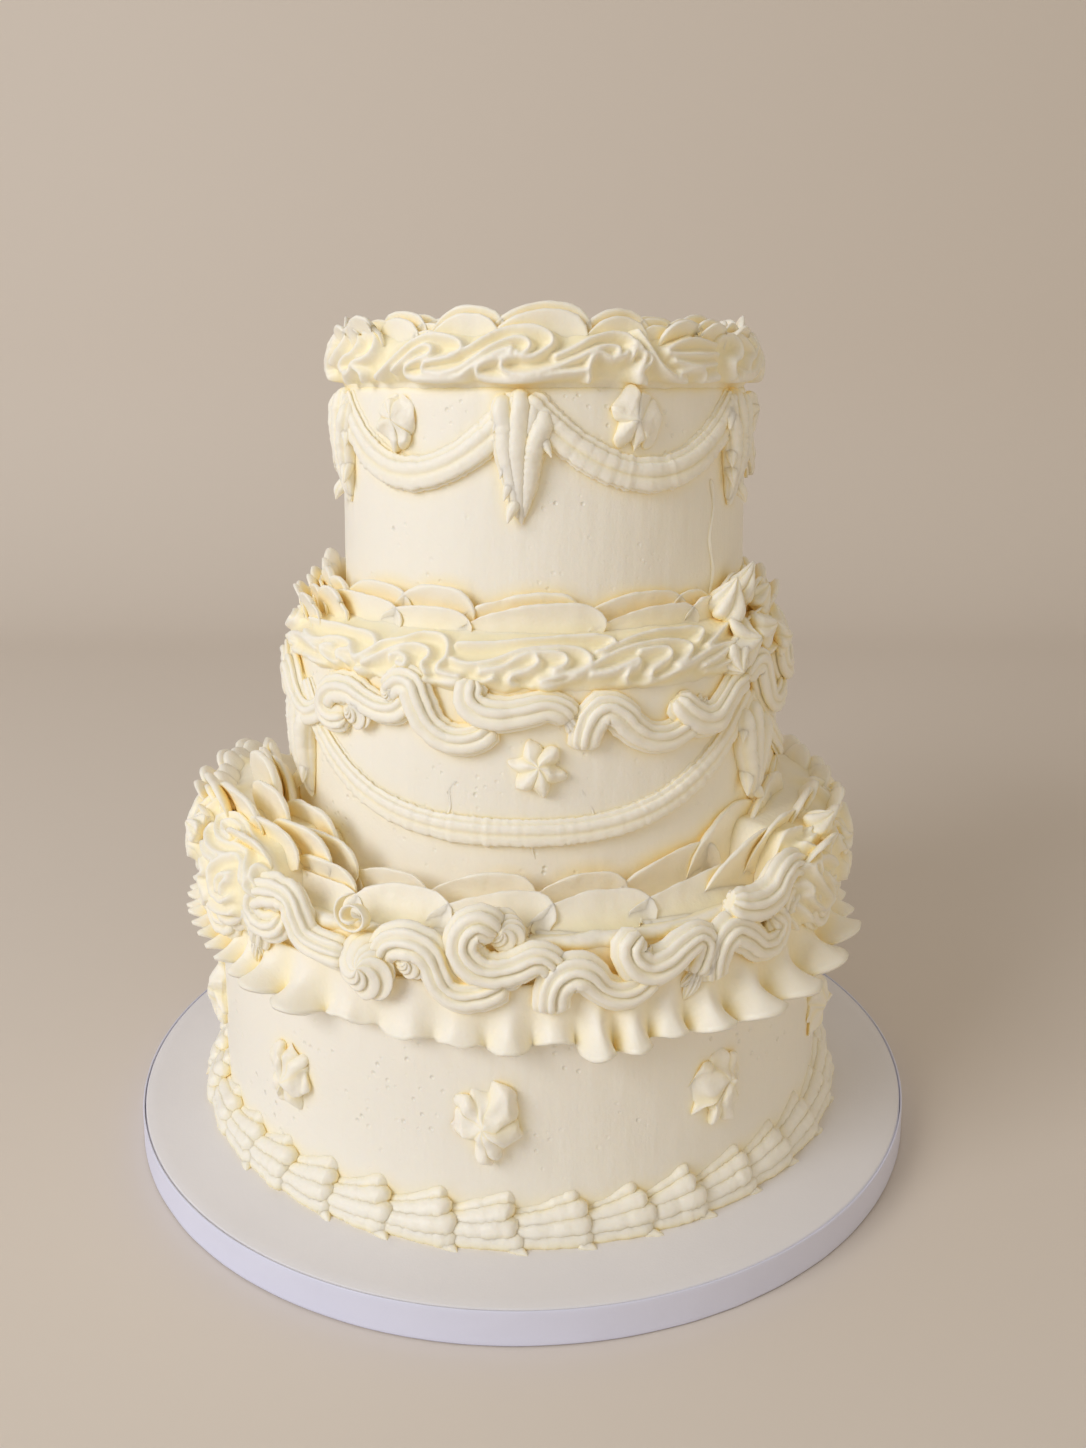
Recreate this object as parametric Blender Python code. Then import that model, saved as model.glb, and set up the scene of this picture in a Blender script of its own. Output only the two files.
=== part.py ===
"""A three-tier wedding cake, iced and piped in buttercream, on its drum board.

The origin is the middle of the board's underside, +Z is up, and the cake's front faces -Y.
Angles are in degrees round a tier's axis, from 0 at the front towards +X.
Every piece stands CLEAR of its neighbours, as touching solids keep a hair's gap.
"""

from collections import namedtuple
from math import cos, pi, radians, sin

import bmesh
import bpy
from mathutils import Vector

MM = 0.001
CLEAR = 0.3 * MM

# Board: a wrapped drum with a ribbon round its edge.
BOARD_RADIUS = 165 * MM
BOARD_HEIGHT = 13 * MM
RIBBON_THICKNESS = 0.7 * MM
RIBBON_FOOT = 0.5 * MM
BOARD_SEGMENTS = 64

# Tiers: the upper two sit a little to the right of the lowest one.
Tier = namedtuple("Tier", "name axis_x radius foot top")
BOTTOM = Tier("tier_bottom", -1.3 * MM, 128.6 * MM, BOARD_HEIGHT, 122 * MM)
MIDDLE = Tier("tier_middle", 5.9 * MM, 102 * MM, BOTTOM.top, 209 * MM)
TOP = Tier("tier_top", 8.9 * MM, 83.2 * MM, MIDDLE.top, 308 * MM)
TIER_SEGMENTS = 48
TIER_EDGE = 1.5 * MM

# Piping round the foot of the cake.
SHELL_COUNT = 36
SHELL_REACH = 13 * MM
SHELL_HEIGHT = 13 * MM

# Frill below the bottom tier's edge.
FRILL_WAVES = 32
FRILL_TOP = 104 * MM
FRILL_HEM = 87 * MM
FRILL_REACH = 14 * MM
FRILL_WAVE = 2.5 * MM

# Scrolled ropes under the edges of the two lower tiers: turns, height of the line, swing.
Scroll = namedtuple("Scroll", "name tier turns line swing phase")
SCROLLS = (
    Scroll("scroll_bottom", BOTTOM, 15, 118 * MM, 4.5 * MM, 40),
    Scroll("scroll_middle", MIDDLE, 12, 198 * MM, 3.5 * MM, 270),
)
SCROLL_HALF_HEIGHT = 6.5 * MM
SCROLL_THICKNESS = 8 * MM

# Shells and ruffles rise from a low tail to a full head.
SWELL = (0.6, 0.9, 1)

# Swags, and the drops that hide where they meet.
Swag = namedtuple("Swag", "tier low drop_angles rise power")
TOP_SWAGS = Swag(TOP, 275.5 * MM, (-66, -4.7, 59.5, 120, 178, 237), 27 * MM, 2)
MIDDLE_SWAGS = Swag(MIDDLE, 151 * MM, (-62, 52, 175), 42 * MM, 3)
SWAG_HALF_WIDTH = 5.6 * MM
SWAG_THICKNESS = 5.5 * MM
DROP_HALF_WIDTH = 8 * MM
DROP_THICKNESS = 9 * MM

# Piped stars: angle and height of each, and the size of its six points.
Star = namedtuple("Star", "name tier angle height half_size")
STAR_POINTS = 6
STAR_THICKNESS = 8 * MM

ICING = ("icing", (0.93, 0.87, 0.70), 0.45)
PIPING = ("piping", (0.94, 0.89, 0.73), 0.4)
BOARD_WRAP = ("board_wrap", (0.80, 0.77, 0.76), 0.5)
RIBBON = ("ribbon", (0.80, 0.79, 0.86), 0.35)


def material(finish):
    """The Principled material of a finish: its name, colour and roughness."""
    name, colour, roughness = finish
    made = bpy.data.materials.get(name)
    if made is None:
        made = bpy.data.materials.new(name)
        made.use_nodes = True
        shader = made.node_tree.nodes["Principled BSDF"]
        shader.inputs["Base Color"].default_value = (*colour, 1)
        shader.inputs["Roughness"].default_value = roughness
        shader.inputs["Metallic"].default_value = 0
    return made


def on_tier(tier, angle, out, z):
    """The point standing `out` from the tier's wall at this angle and height."""
    turn = radians(angle)
    reach = tier.radius + out
    return Vector((tier.axis_x + reach * sin(turn), -reach * cos(turn), z))


def angle_of(tier, along):
    """The angle that a length along the tier's wall turns through."""
    return along / tier.radius * 180 / pi


def loft(name, loops, finish, closed=False, tail=None, tip=None):
    """One solid through loops of points. A closed loft joins its last loop to its first;
    an open one is capped at each end, or drawn to a point there: `tail` first, `tip` last."""
    bm = bmesh.new()
    rings = [[bm.verts.new(p) for p in loop] for loop in loops]
    pairs = list(zip(rings, rings[1:]))
    if closed:
        pairs.append((rings[-1], rings[0]))
    for here, there in pairs:
        count = len(here)
        for i in range(count):
            j = (i + 1) % count
            bm.faces.new((here[i], here[j], there[j], there[i]))
    if not closed:
        cap(bm, list(reversed(rings[0])), tail)
        cap(bm, rings[-1], tip)
    bmesh.ops.recalc_face_normals(bm, faces=bm.faces)
    mesh = bpy.data.meshes.new(name)
    bm.to_mesh(mesh)
    bm.free()
    mesh.shade_smooth()
    mesh.set_sharp_from_angle(angle=radians(40))
    mesh.materials.append(material(finish))
    made = bpy.data.objects.new(name, mesh)
    bpy.context.scene.collection.objects.link(made)
    return made


def cap(bm, ring, point):
    """Close a ring with one face, or with a fan to a point."""
    if point is None:
        bm.faces.new(ring)
        return
    middle = bm.verts.new(point)
    for i in range(len(ring)):
        bm.faces.new((ring[i], ring[(i + 1) % len(ring)], middle))


def circle(axis_x, radius, z, segments):
    """A level circle of points."""
    return [
        (axis_x + radius * sin(2 * pi * i / segments), -radius * cos(2 * pi * i / segments), z)
        for i in range(segments)
    ]


def board():
    """The drum, and the ribbon glued round its edge."""
    inner = BOARD_RADIUS - RIBBON_THICKNESS
    drum = inner - CLEAR
    edge = 0.6 * MM
    loft(
        "board",
        [
            circle(0, drum, 0, BOARD_SEGMENTS),
            circle(0, drum, BOARD_HEIGHT - edge, BOARD_SEGMENTS),
            circle(0, drum - edge, BOARD_HEIGHT, BOARD_SEGMENTS),
        ],
        BOARD_WRAP,
    )
    section = (
        (inner, RIBBON_FOOT),
        (BOARD_RADIUS, RIBBON_FOOT),
        (BOARD_RADIUS, BOARD_HEIGHT),
        (inner, BOARD_HEIGHT),
    )
    loops = []
    for i in range(BOARD_SEGMENTS):
        turn = 2 * pi * i / BOARD_SEGMENTS
        loops.append([(r * sin(turn), -r * cos(turn), z) for r, z in section])
    loft("board_ribbon", loops, RIBBON, closed=True)


def tier_solid(tier):
    """An iced tier: a straight wall with a soft upper edge."""
    foot = tier.foot + CLEAR
    shapes = (
        (tier.radius, foot),
        (tier.radius, tier.top - TIER_EDGE),
        (tier.radius - TIER_EDGE, tier.top),
    )
    loft(tier.name, [circle(tier.axis_x, r, z, TIER_SEGMENTS) for r, z in shapes], ICING)


def shell_border():
    """Shells piped on the board round the bottom tier, each swelling towards its head."""
    steps = SHELL_COUNT * len(SWELL)
    loops = []
    for i in range(steps):
        angle = 360 * i / steps
        swell = SWELL[i % len(SWELL)]
        reach = SHELL_REACH * (0.5 + 0.5 * swell)
        height = SHELL_HEIGHT * swell
        foot = BOARD_HEIGHT + CLEAR
        section = (
            (CLEAR, foot),
            (CLEAR, foot + 0.8 * height),
            (0.45 * reach, foot + height),
            (0.9 * reach, foot + 0.55 * height),
            (reach, foot),
        )
        loops.append([on_tier(BOTTOM, angle, out, z) for out, z in section])
    loft("shell_border", loops, PIPING, closed=True)


def frill():
    """A thin frill hung from the bottom tier's wall, its hem swinging in and out."""
    samples = 4
    steps = FRILL_WAVES * samples
    drop = FRILL_TOP - FRILL_HEM
    loops = []
    for i in range(steps):
        wave = cos(2 * pi * i / samples)
        reach = FRILL_REACH + FRILL_WAVE * wave
        section = (
            (CLEAR, FRILL_TOP),
            (CLEAR, FRILL_TOP - 0.35 * drop),
            (reach - 2 * MM, FRILL_HEM),
            (reach, FRILL_HEM + 1.5 * MM),
        )
        loops.append([on_tier(BOTTOM, 360 * i / steps, out, z) for out, z in section])
    loft("frill_bottom", loops, PIPING, closed=True)


def scroll(kind):
    """A rope that winds up and down round the tier, just under its edge."""
    samples = 5
    steps = kind.turns * samples
    half = SCROLL_HALF_HEIGHT
    loops = []
    for i in range(steps):
        turn = 2 * pi * i / samples + radians(kind.phase)
        middle = kind.line + kind.swing * cos(turn)
        section = (
            (CLEAR, middle - half),
            (CLEAR, middle + half),
            (0.8 * SCROLL_THICKNESS, middle + 0.6 * half),
            (SCROLL_THICKNESS, middle),
            (0.8 * SCROLL_THICKNESS, middle - 0.6 * half),
        )
        loops.append([on_tier(kind.tier, 360 * i / steps, out, z) for out, z in section])
    loft(kind.name, loops, PIPING, closed=True)


def ledge_ruffles(name, inner_tier, outer_tier, overhang, count, height):
    """Ruffled shells that fill the ledge between two tiers, and may lean past its edge."""
    steps = count * len(SWELL)
    foot = outer_tier.top + CLEAR
    loops = []
    for i in range(steps):
        angle = 360 * i / steps
        swell = SWELL[i % len(SWELL)]
        wall = on_tier(inner_tier, angle, CLEAR, foot)
        edge = on_tier(outer_tier, angle, overhang, foot)
        section = (
            (0, 0),
            (0, 0.85 * swell),
            (0.35, swell),
            (0.85, 0.55 * swell),
            (1, 0.15),
            (0.92, 0),
        )
        loops.append(
            [wall.lerp(edge, across) + Vector((0, 0, height * up)) for across, up in section]
        )
    loft(name, loops, PIPING, closed=True)


def crown():
    """The tall ruffled border that stands on the edge of the top tier."""
    count = 18
    height = 28 * MM
    half_width = 13 * MM
    middle = -5.5 * MM
    steps = count * len(SWELL)
    foot = TOP.top + CLEAR
    loops = []
    for i in range(steps):
        swell = SWELL[i % len(SWELL)]
        section = ((-0.8, 0), (-1, 0.4), (-0.3, 1), (0.5, 0.9), (1, 0.3), (0.75, 0))
        loops.append(
            [
                on_tier(TOP, 360 * i / steps, middle + half_width * out, foot + height * swell * up)
                for out, up in section
            ]
        )
    loft("crown", loops, PIPING, closed=True)


def swags(name, kind):
    """Ropes hung between the drops, low in the middle and steep at the ends."""
    tier = kind.tier
    section = ((-1, 0), (-0.8, 0.75), (0, 1), (0.8, 0.75), (1, 0))
    ends = kind.drop_angles + (kind.drop_angles[0] + 360,)
    clearance = angle_of(tier, DROP_HALF_WIDTH + 0.6 * MM)
    for number, (start, end) in enumerate(zip(ends, ends[1:]), 1):
        middle, half = (start + end) / 2, (end - start) / 2
        steps = 2 * round(half / 5.5)
        loops = []
        for i in range(steps + 1):
            share = (2 * i / steps - 1) * (half - clearance) / half
            z = kind.low + kind.rise * abs(share) ** kind.power
            slope = kind.rise * kind.power * abs(share) ** (kind.power - 1)
            slope *= (1 if share > 0 else -1) / (radians(half) * tier.radius)
            length = (1 + slope**2) ** 0.5
            ends_narrow = 1 if 0 < i < steps else 0.75
            width = SWAG_HALF_WIDTH * ends_narrow
            loop = []
            for across, out in section:
                aside = across * width
                along = angle_of(tier, -aside * slope / length)
                # near a drop the rope's corners stay on their own side of it
                angle = middle + share * half + along
                angle = min(max(angle, start + clearance), end - clearance)
                raised = CLEAR + out * SWAG_THICKNESS * ends_narrow
                loop.append(on_tier(tier, angle, raised, z + aside / length))
            loops.append(loop)
        loft(f"{name}_{number}", loops, PIPING)


def drops(name, kind, top, length):
    """Tapering tassels piped down the wall, ridged, ending in a point."""
    tier = kind.tier
    ridges = ((-1, 0), (-0.8, 0.75), (-0.4, 0.65), (0, 1), (0.4, 0.65), (0.8, 0.75), (1, 0), (0, 0))
    outline = ((0, 0.7, 0.6), (0.14, 1, 1), (0.4, 0.85, 0.85), (0.75, 0.5, 0.55))
    for number, angle in enumerate(kind.drop_angles, 1):
        loops = []
        for down, width, out in outline:
            half = DROP_HALF_WIDTH * width
            raised = DROP_THICKNESS * out
            loop = []
            for across, ridge in ridges:
                turn = angle + angle_of(tier, across * half)
                loop.append(on_tier(tier, turn, CLEAR + ridge * raised, top - down * length))
            loops.append(loop)
        tip = on_tier(tier, angle, CLEAR + 1.2 * MM, top - length)
        loft(f"{name}_{number}", loops, PIPING, tip=tip)


def star(kind):
    """A star squeezed on to the wall and pulled to a point."""
    tier = kind.tier
    loops = []
    for out, size in ((0, 0.9), (0.45, 1)):
        loop = []
        for i in range(2 * STAR_POINTS):
            turn = pi * i / STAR_POINTS
            reach = kind.half_size * size * (1 if i % 2 == 0 else 0.72)
            angle = kind.angle + angle_of(tier, reach * sin(turn))
            loop.append(
                on_tier(tier, angle, CLEAR + out * STAR_THICKNESS, kind.height + reach * cos(turn))
            )
        loops.append(loop)
    tail = on_tier(tier, kind.angle, CLEAR, kind.height)
    tip = on_tier(tier, kind.angle, CLEAR + STAR_THICKNESS, kind.height)
    loft(kind.name, loops, PIPING, tail=tail, tip=tip)


def stars():
    """Ten stars low on the bottom tier, and one in each swag of the two upper tiers."""
    bottom = (-40, -4.3, 34.4, 70, 106, 142, 178, 214, 250, 285)
    middle = (0.3, 113, 236)
    top = (-40, 22.8, 90, 149, 207.5, 265.5)
    placed = [
        *(("star_bottom", BOTTOM, a, 57 * MM, 12.5 * MM, n) for n, a in enumerate(bottom, 1)),
        *(("star_middle", MIDDLE, a, 175 * MM, 8.6 * MM, n) for n, a in enumerate(middle, 1)),
        *(("star_top", TOP, a, 297 * MM, 9.5 * MM, n) for n, a in enumerate(top, 1)),
    ]
    for name, tier, angle, height, half_size, number in placed:
        star(Star(f"{name}_{number}", tier, angle, height, half_size))


def build():
    """The whole cake."""
    for old in list(bpy.data.objects):
        bpy.data.objects.remove(old)
    board()
    for tier in (BOTTOM, MIDDLE, TOP):
        tier_solid(tier)
    shell_border()
    frill()
    for kind in SCROLLS:
        scroll(kind)
    ledge_ruffles("ruffles_bottom", MIDDLE, BOTTOM, -0.6 * MM, 22, 24 * MM)
    ledge_ruffles("ruffles_middle", TOP, MIDDLE, 7 * MM, 18, 22 * MM)
    crown()
    swags("swag_top", TOP_SWAGS)
    swags("swag_middle", MIDDLE_SWAGS)
    drops("drop_top", TOP_SWAGS, 307 * MM, 44 * MM)
    drops("drop_middle", MIDDLE_SWAGS, 186 * MM, 36 * MM)
    stars()


build()
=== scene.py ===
# A three-tier wedding cake in buttercream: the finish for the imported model.
import math
import random

import bpy
import numpy as np
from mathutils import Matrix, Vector, noise


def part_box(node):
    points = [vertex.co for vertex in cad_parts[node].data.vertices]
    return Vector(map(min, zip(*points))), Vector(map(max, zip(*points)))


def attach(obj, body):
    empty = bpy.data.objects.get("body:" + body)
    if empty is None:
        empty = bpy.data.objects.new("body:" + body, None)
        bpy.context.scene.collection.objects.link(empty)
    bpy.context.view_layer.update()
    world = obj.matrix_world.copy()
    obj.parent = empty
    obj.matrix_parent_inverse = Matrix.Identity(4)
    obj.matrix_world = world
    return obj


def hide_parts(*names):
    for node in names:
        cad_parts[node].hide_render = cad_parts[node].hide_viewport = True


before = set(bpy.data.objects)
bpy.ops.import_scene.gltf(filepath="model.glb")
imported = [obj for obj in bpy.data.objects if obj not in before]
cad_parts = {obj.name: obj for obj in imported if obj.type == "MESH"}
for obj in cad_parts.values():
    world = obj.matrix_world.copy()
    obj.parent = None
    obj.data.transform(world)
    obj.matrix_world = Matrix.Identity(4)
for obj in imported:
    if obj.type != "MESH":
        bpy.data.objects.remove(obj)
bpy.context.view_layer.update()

mm = 0.001
turn = 2 * math.pi


class Wire:
    # one socket, with the maths that is done on it
    def __init__(self, nodes, socket):
        self.nodes = nodes
        self.socket = socket

    def math(self, operation, *others):
        return self.nodes.add("ShaderNodeMath", {"operation": operation}, dict(enumerate((self, *others))))

    def __add__(self, other):
        return self.math("ADD", other)

    def __radd__(self, other):
        return self.math("ADD", other)

    def __sub__(self, other):
        return self.math("SUBTRACT", other)

    def __rsub__(self, other):
        return self.nodes.number(other).math("SUBTRACT", self)

    def __mul__(self, other):
        return self.math("MULTIPLY", other)

    def __rmul__(self, other):
        return self.math("MULTIPLY", other)

    def __truediv__(self, other):
        return self.math("DIVIDE", other)

    def __pow__(self, other):
        return self.math("POWER", other)

    def __abs__(self):
        return self.math("ABSOLUTE")


class Nodes:
    # adds nodes to a tree: type, settings, then the values or links of its sockets
    def __init__(self, tree):
        self.tree = tree

    def add(self, kind, settings=None, sockets=None, output=0):
        node = self.tree.nodes.new(kind)
        for name, value in (settings or {}).items():
            setattr(node, name, value)
        for name, value in (sockets or {}).items():
            if isinstance(value, Wire):
                self.tree.links.new(value.socket, node.inputs[name])
            else:
                node.inputs[name].default_value = value
        return Wire(self, node.outputs[output]) if node.outputs else node

    def number(self, value):
        return self.add("ShaderNodeMath", {"operation": "ADD"}, {0: value, 1: 0.0})

    def mix(self, amount, first, second):
        return self.add("ShaderNodeMix", {"data_type": "RGBA"}, {0: amount, 6: first, 7: second}, 2)

    def out(self, wire, name):
        return Wire(self, wire.socket.node.outputs[name])


def newMaterial(name, fixed):
    # a Principled material with its fixed values set on the shader
    made = bpy.data.materials.new(name)
    made.use_nodes = True
    shader = made.node_tree.nodes["Principled BSDF"]
    for socket, value in fixed.items():
        shader.inputs[socket].default_value = value
    return made, Nodes(made.node_tree), shader


def feed(nodes, shader, links):
    for socket, wire in links.items():
        nodes.tree.links.new(wire.socket, shader.inputs[socket])


# ridge is the icing's own colour; the other colour is painted shade, the warm yellow for grooves and covered
# places
creamLook = {
    "ridge": (0.94, 0.91, 0.835, 1), "grooveShade": (1.0, 0.865, 0.49, 1), "grooveShadeStrength": 0.8, "closed": 1.0,
    "closedReach": 6.5 * mm, "subsurface": 0.35, "reach": 1.6 * mm, "roughness": 0.42}


def butterCream(name, grain, strokes, pits):
    # whipped butter icing: a fine grain of air, knife strokes down the wall and small pits, and painted
    # shade: a warm yellow tint in grooves and in covered places
    made, nodes, shader = newMaterial(name, {
        "Subsurface Weight": creamLook["subsurface"], "Subsurface Radius": (1.0, 0.9, 0.75),
        "Subsurface Scale": creamLook["reach"], "Specular IOR Level": 0.38, "IOR": 1.45})
    place = nodes.out(nodes.add("ShaderNodeTexCoord"), "Object")
    grooveShade = nodes.out(nodes.add("ShaderNodeAttribute", {"attribute_name": "grooveShade"}), "Fac")
    cloud = nodes.add("ShaderNodeTexNoise", None, {"Vector": place, "Scale": 45.0, "Detail": 3.0})
    # painted shade: where the occlusion node finds that little light gets in, and in grooves, the colour is
    # tinted warm yellow, standing in for light scattered through the icing
    sky = nodes.add("ShaderNodeAmbientOcclusion", {"samples": 4}, {"Distance": creamLook["closedReach"]})
    closed = (1.0 - nodes.out(sky, "AO")) ** 1.1 * creamLook["closed"]
    shadeAndMottle = (grooveShade ** 1.2 * creamLook["grooveShadeStrength"]).math("MAXIMUM", closed) + (cloud - 0.5) * 0.12
    shadeAndMottle = shadeAndMottle.math("MAXIMUM", 0.0).math("MINIMUM", 1.0)
    colour = nodes.mix(shadeAndMottle, creamLook["ridge"], creamLook["grooveShade"])
    fine = nodes.add("ShaderNodeTexNoise", None, {"Vector": place, "Scale": 700.0, "Detail": 4.0})
    height = fine * grain
    if strokes:
        stretched = nodes.add("ShaderNodeMapping", {"vector_type": "POINT"},
                              {"Vector": place, "Scale": (1.0, 1.0, 0.16)})
        height = height + strokes * nodes.add("ShaderNodeTexNoise", None,
                                              {"Vector": stretched, "Scale": 260.0, "Detail": 3.0})
    if pits:
        cells = nodes.add("ShaderNodeTexVoronoi", {"feature": "F1"}, {"Vector": place, "Scale": 240.0})
        patch = nodes.add("ShaderNodeTexNoise", None, {"Vector": place, "Scale": 38.0, "Detail": 1.0})
        height = height - (0.24 - cells).math("MAXIMUM", 0.0) * (patch - 0.5).math("MAXIMUM", 0.0) * pits
    bump = nodes.add("ShaderNodeBump", None, {"Height": height, "Strength": 0.7, "Distance": 0.6 * mm})
    feed(nodes, shader, {"Base Color": colour, "Roughness": creamLook["roughness"] + (fine - 0.5) * 0.18,
                         "Normal": bump})
    return made


boardLook = {
    "paper": (0.835, 0.835, 0.885, 1), "paperShade": (0.775, 0.775, 0.825, 1),
    "band": (0.76, 0.785, 0.96, 1), "bandShade": (0.7, 0.725, 0.91, 1)}


def wrappingPaper(name, light, shade, roughness, creaseScale, creaseHeight):
    # coated paper with a fine embossed grain and soft creases
    made, nodes, shader = newMaterial(name, {"Specular IOR Level": 0.4})
    place = nodes.out(nodes.add("ShaderNodeTexCoord"), "Object")
    cloud = nodes.add("ShaderNodeTexNoise", None, {"Vector": place, "Scale": 28.0, "Detail": 5.0})
    grain = nodes.add("ShaderNodeTexNoise", None, {"Vector": place, "Scale": 1100.0, "Detail": 3.0})
    crease = nodes.add("ShaderNodeTexNoise", None, {"Vector": place, "Scale": creaseScale, "Detail": 2.0})
    bump = nodes.add("ShaderNodeBump", None, {
        "Height": grain * 0.5 + crease * creaseHeight, "Strength": 0.3, "Distance": 0.35 * mm})
    feed(nodes, shader, {"Base Color": nodes.mix(cloud, light, shade),
                         "Roughness": roughness + (grain - 0.5) * 0.2, "Normal": bump})
    return made


wallCream = butterCream("wallCream", 0.3, 0.6, 36.0)
pipedCream = butterCream("pipedCream", 0.4, 0, 0)
boardPaper = wrappingPaper("boardPaper", boardLook["paper"], boardLook["paperShade"], 0.5, 300.0, 0.2)
bandPaper = wrappingPaper("bandPaper", boardLook["band"], boardLook["bandShade"], 0.38, 120.0, 1.4)


def tierOf(node):
    # a tier's axis, radius, foot and top, in millimetres
    low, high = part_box(node)
    return {"x": (low[0] + high[0]) / 2 / mm, "r": (high[0] - low[0]) / 2 / mm,
            "foot": low[2] / mm, "top": high[2] / mm}


bottomTier = tierOf("tier_bottom")
middleTier = tierOf("tier_middle")
topTier = tierOf("tier_top")


def spot(tier, angle, z, out=0.0):
    # a point `out` from the tier's wall; the angle is in degrees from the front towards +X
    a = math.radians(angle)
    reach = tier["r"] + out
    return Vector(((tier["x"] + reach * math.sin(a)) * mm, -reach * math.cos(a) * mm, z * mm))


def outward(angle, tilt=0.0):
    # the direction away from the tier's axis, tilted up by `tilt` degrees
    a, t = math.radians(angle), math.radians(tilt)
    return Vector((math.sin(a) * math.cos(t), -math.cos(a) * math.cos(t), math.sin(t)))


def degrees(tier, length):
    return math.degrees(length / tier["r"])


def scaled(tier, *others):
    # what turns an angle on the tier, and the numbers after it, into millimetres
    return (tier["r"] * math.pi / 180, *others)


def smoothLine(rows, pace, scale):
    # a Catmull-Rom line through rows of numbers; `scale` turns each number into a length
    last = len(rows) - 1
    line = []
    for i in range(last):
        p = [rows[min(max(i + k - 1, 0), last)] for k in range(4)]
        span = math.dist([a * s for a, s in zip(p[1], scale)], [a * s for a, s in zip(p[2], scale)])
        steps = max(2, round(span / pace))
        for s in range(steps):
            t = s / steps
            line.append(tuple(
                0.5 * (2 * b + (c - a) * t + (2 * a - 5 * b + 4 * c - d) * t * t
                       + (3 * b - a - 3 * c + d) * t ** 3)
                for a, b, c, d in zip(*p)))
    line.append(tuple(rows[-1]))
    return line


def finished(name, mesh, replaced):
    # the piece as an object at the origin, riding on the cake
    piece = bpy.data.objects.new(name, mesh)
    bpy.context.scene.collection.objects.link(piece)
    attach(piece, "root")
    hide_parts(*replaced)
    return piece


# what a nozzle is where a piece doesn't say otherwise; Ragged and Wobble are in millimetres
plainNozzle = {
    "Teeth": 0.0, "Depth": 0.0, "Crest": 1.0, "Uneven": 0.0, "Point": 0.0, "Flatness": 1.0, "Blunt": 0.0,
    "Taper": 0.0, "Cup": 0.0, "FoldShade": 0.0, "Sides": 48, "Ragged": 0.2, "Wobble": 0.6, "Seed": 1.0}


def pipingTree():
    # sweeps a nozzle's outline along strokes, whose points carry facing and girth
    tree = bpy.data.node_groups.new("pipingBag", "GeometryNodeTree")
    face = tree.interface
    face.new_socket(name="Geometry", in_out="OUTPUT", socket_type="NodeSocketGeometry")
    labels = {"Strokes": "Geometry", **dict.fromkeys(plainNozzle, "Float"), "Sides": "Int",
              "Icing": "Material"}
    for label, kind in labels.items():
        face.new_socket(name=label, in_out="INPUT", socket_type="NodeSocket" + kind)
    nodes = Nodes(tree)
    entry = nodes.add("NodeGroupInput")
    given = {label: nodes.out(entry, label) for label in labels}

    def attribute(name, kind):
        return nodes.add("GeometryNodeInputNamedAttribute", {"data_type": kind}, {"Name": name})

    rail = nodes.add("GeometryNodeMeshToCurve", None, {"Mesh": given["Strokes"]})
    rail = nodes.add("GeometryNodeSetCurveNormal", {"mode": "FREE"},
                     {"Curve": rail, "Normal": attribute("facing", "FLOAT_VECTOR")})
    circle = nodes.add("GeometryNodeCurvePrimitiveCircle", None,
                       {"Resolution": given["Sides"], "Radius": 1.0})
    angle = nodes.add("GeometryNodeInputIndex") / given["Sides"] * turn
    phase = (angle + (angle * 2 + given["Seed"]).math("SINE") * given["Uneven"]) * given["Teeth"] * 0.5
    wave = abs(phase.math("COSINE")) ** given["Crest"]
    wave = wave + (1.0 - abs(phase.math("SINE")) - wave) * given["Point"]
    reach = 1.0 - given["Depth"] * (1.0 - wave)
    side = angle.math("SINE") * reach
    across = angle.math("COSINE")
    across = across * (abs(across) + 0.01) ** (0.0 - given["Blunt"]) * reach * given["Flatness"]
    place = nodes.add("ShaderNodeCombineXYZ", None, {
        "X": across * (1.0 - given["Taper"] * side) - given["Cup"] * side * side, "Y": side})
    nozzle = nodes.add("GeometryNodeSetPosition", None, {"Geometry": circle, "Position": place})
    # painted shade: the grooves between the nozzle's teeth, and the fold side of a petal, are marked for a
    # warm yellow tint in the icing's colour
    foldShade = given["FoldShade"] * (0.5 - side * 0.5).math("MAXIMUM", 0.0) ** 1.3
    grooveShade = ((1.0 - wave) ** 1.4 * 0.8).math("MAXIMUM", foldShade)
    nozzle = nodes.add("GeometryNodeStoreNamedAttribute", {"data_type": "FLOAT", "domain": "POINT"},
                       {"Geometry": nozzle, "Name": "grooveShade", "Value": grooveShade})
    body = nodes.add("GeometryNodeCurveToMesh", None, {
        "Curve": rail, "Profile Curve": nozzle, "Scale": attribute("girth", "FLOAT"), "Fill Caps": True})
    # crests tear where the icing drags, and the hand sways a little
    where = nodes.add("GeometryNodeInputPosition")
    tear = nodes.add("ShaderNodeTexNoise", {"noise_dimensions": "4D"},
                     {"Vector": where, "W": given["Seed"], "Scale": 900.0, "Detail": 2.0})
    sway = nodes.add("ShaderNodeTexNoise", {"noise_dimensions": "4D"},
                     {"Vector": where, "W": given["Seed"], "Scale": 110.0, "Detail": 1.0})
    lift = (tear - 0.5) * given["Ragged"] * (1.0 - attribute("grooveShade", "FLOAT"))
    lift = lift + (sway - 0.5) * given["Wobble"]
    shift = nodes.add("ShaderNodeVectorMath", {"operation": "SCALE"},
                      {"Vector": nodes.add("GeometryNodeInputNormal"), "Scale": lift})
    body = nodes.add("GeometryNodeSetPosition", None, {"Geometry": body, "Offset": shift})
    body = nodes.add("GeometryNodeSetShadeSmooth", None, {"Geometry": body})
    body = nodes.add("GeometryNodeRealizeInstances", None, {"Geometry": body})
    body = nodes.add("GeometryNodeSetMaterial", None, {"Geometry": body, "Material": given["Icing"]})
    nodes.add("NodeGroupOutput", None, {"Geometry": body})
    return tree


pipingBag = pipingTree()


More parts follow.
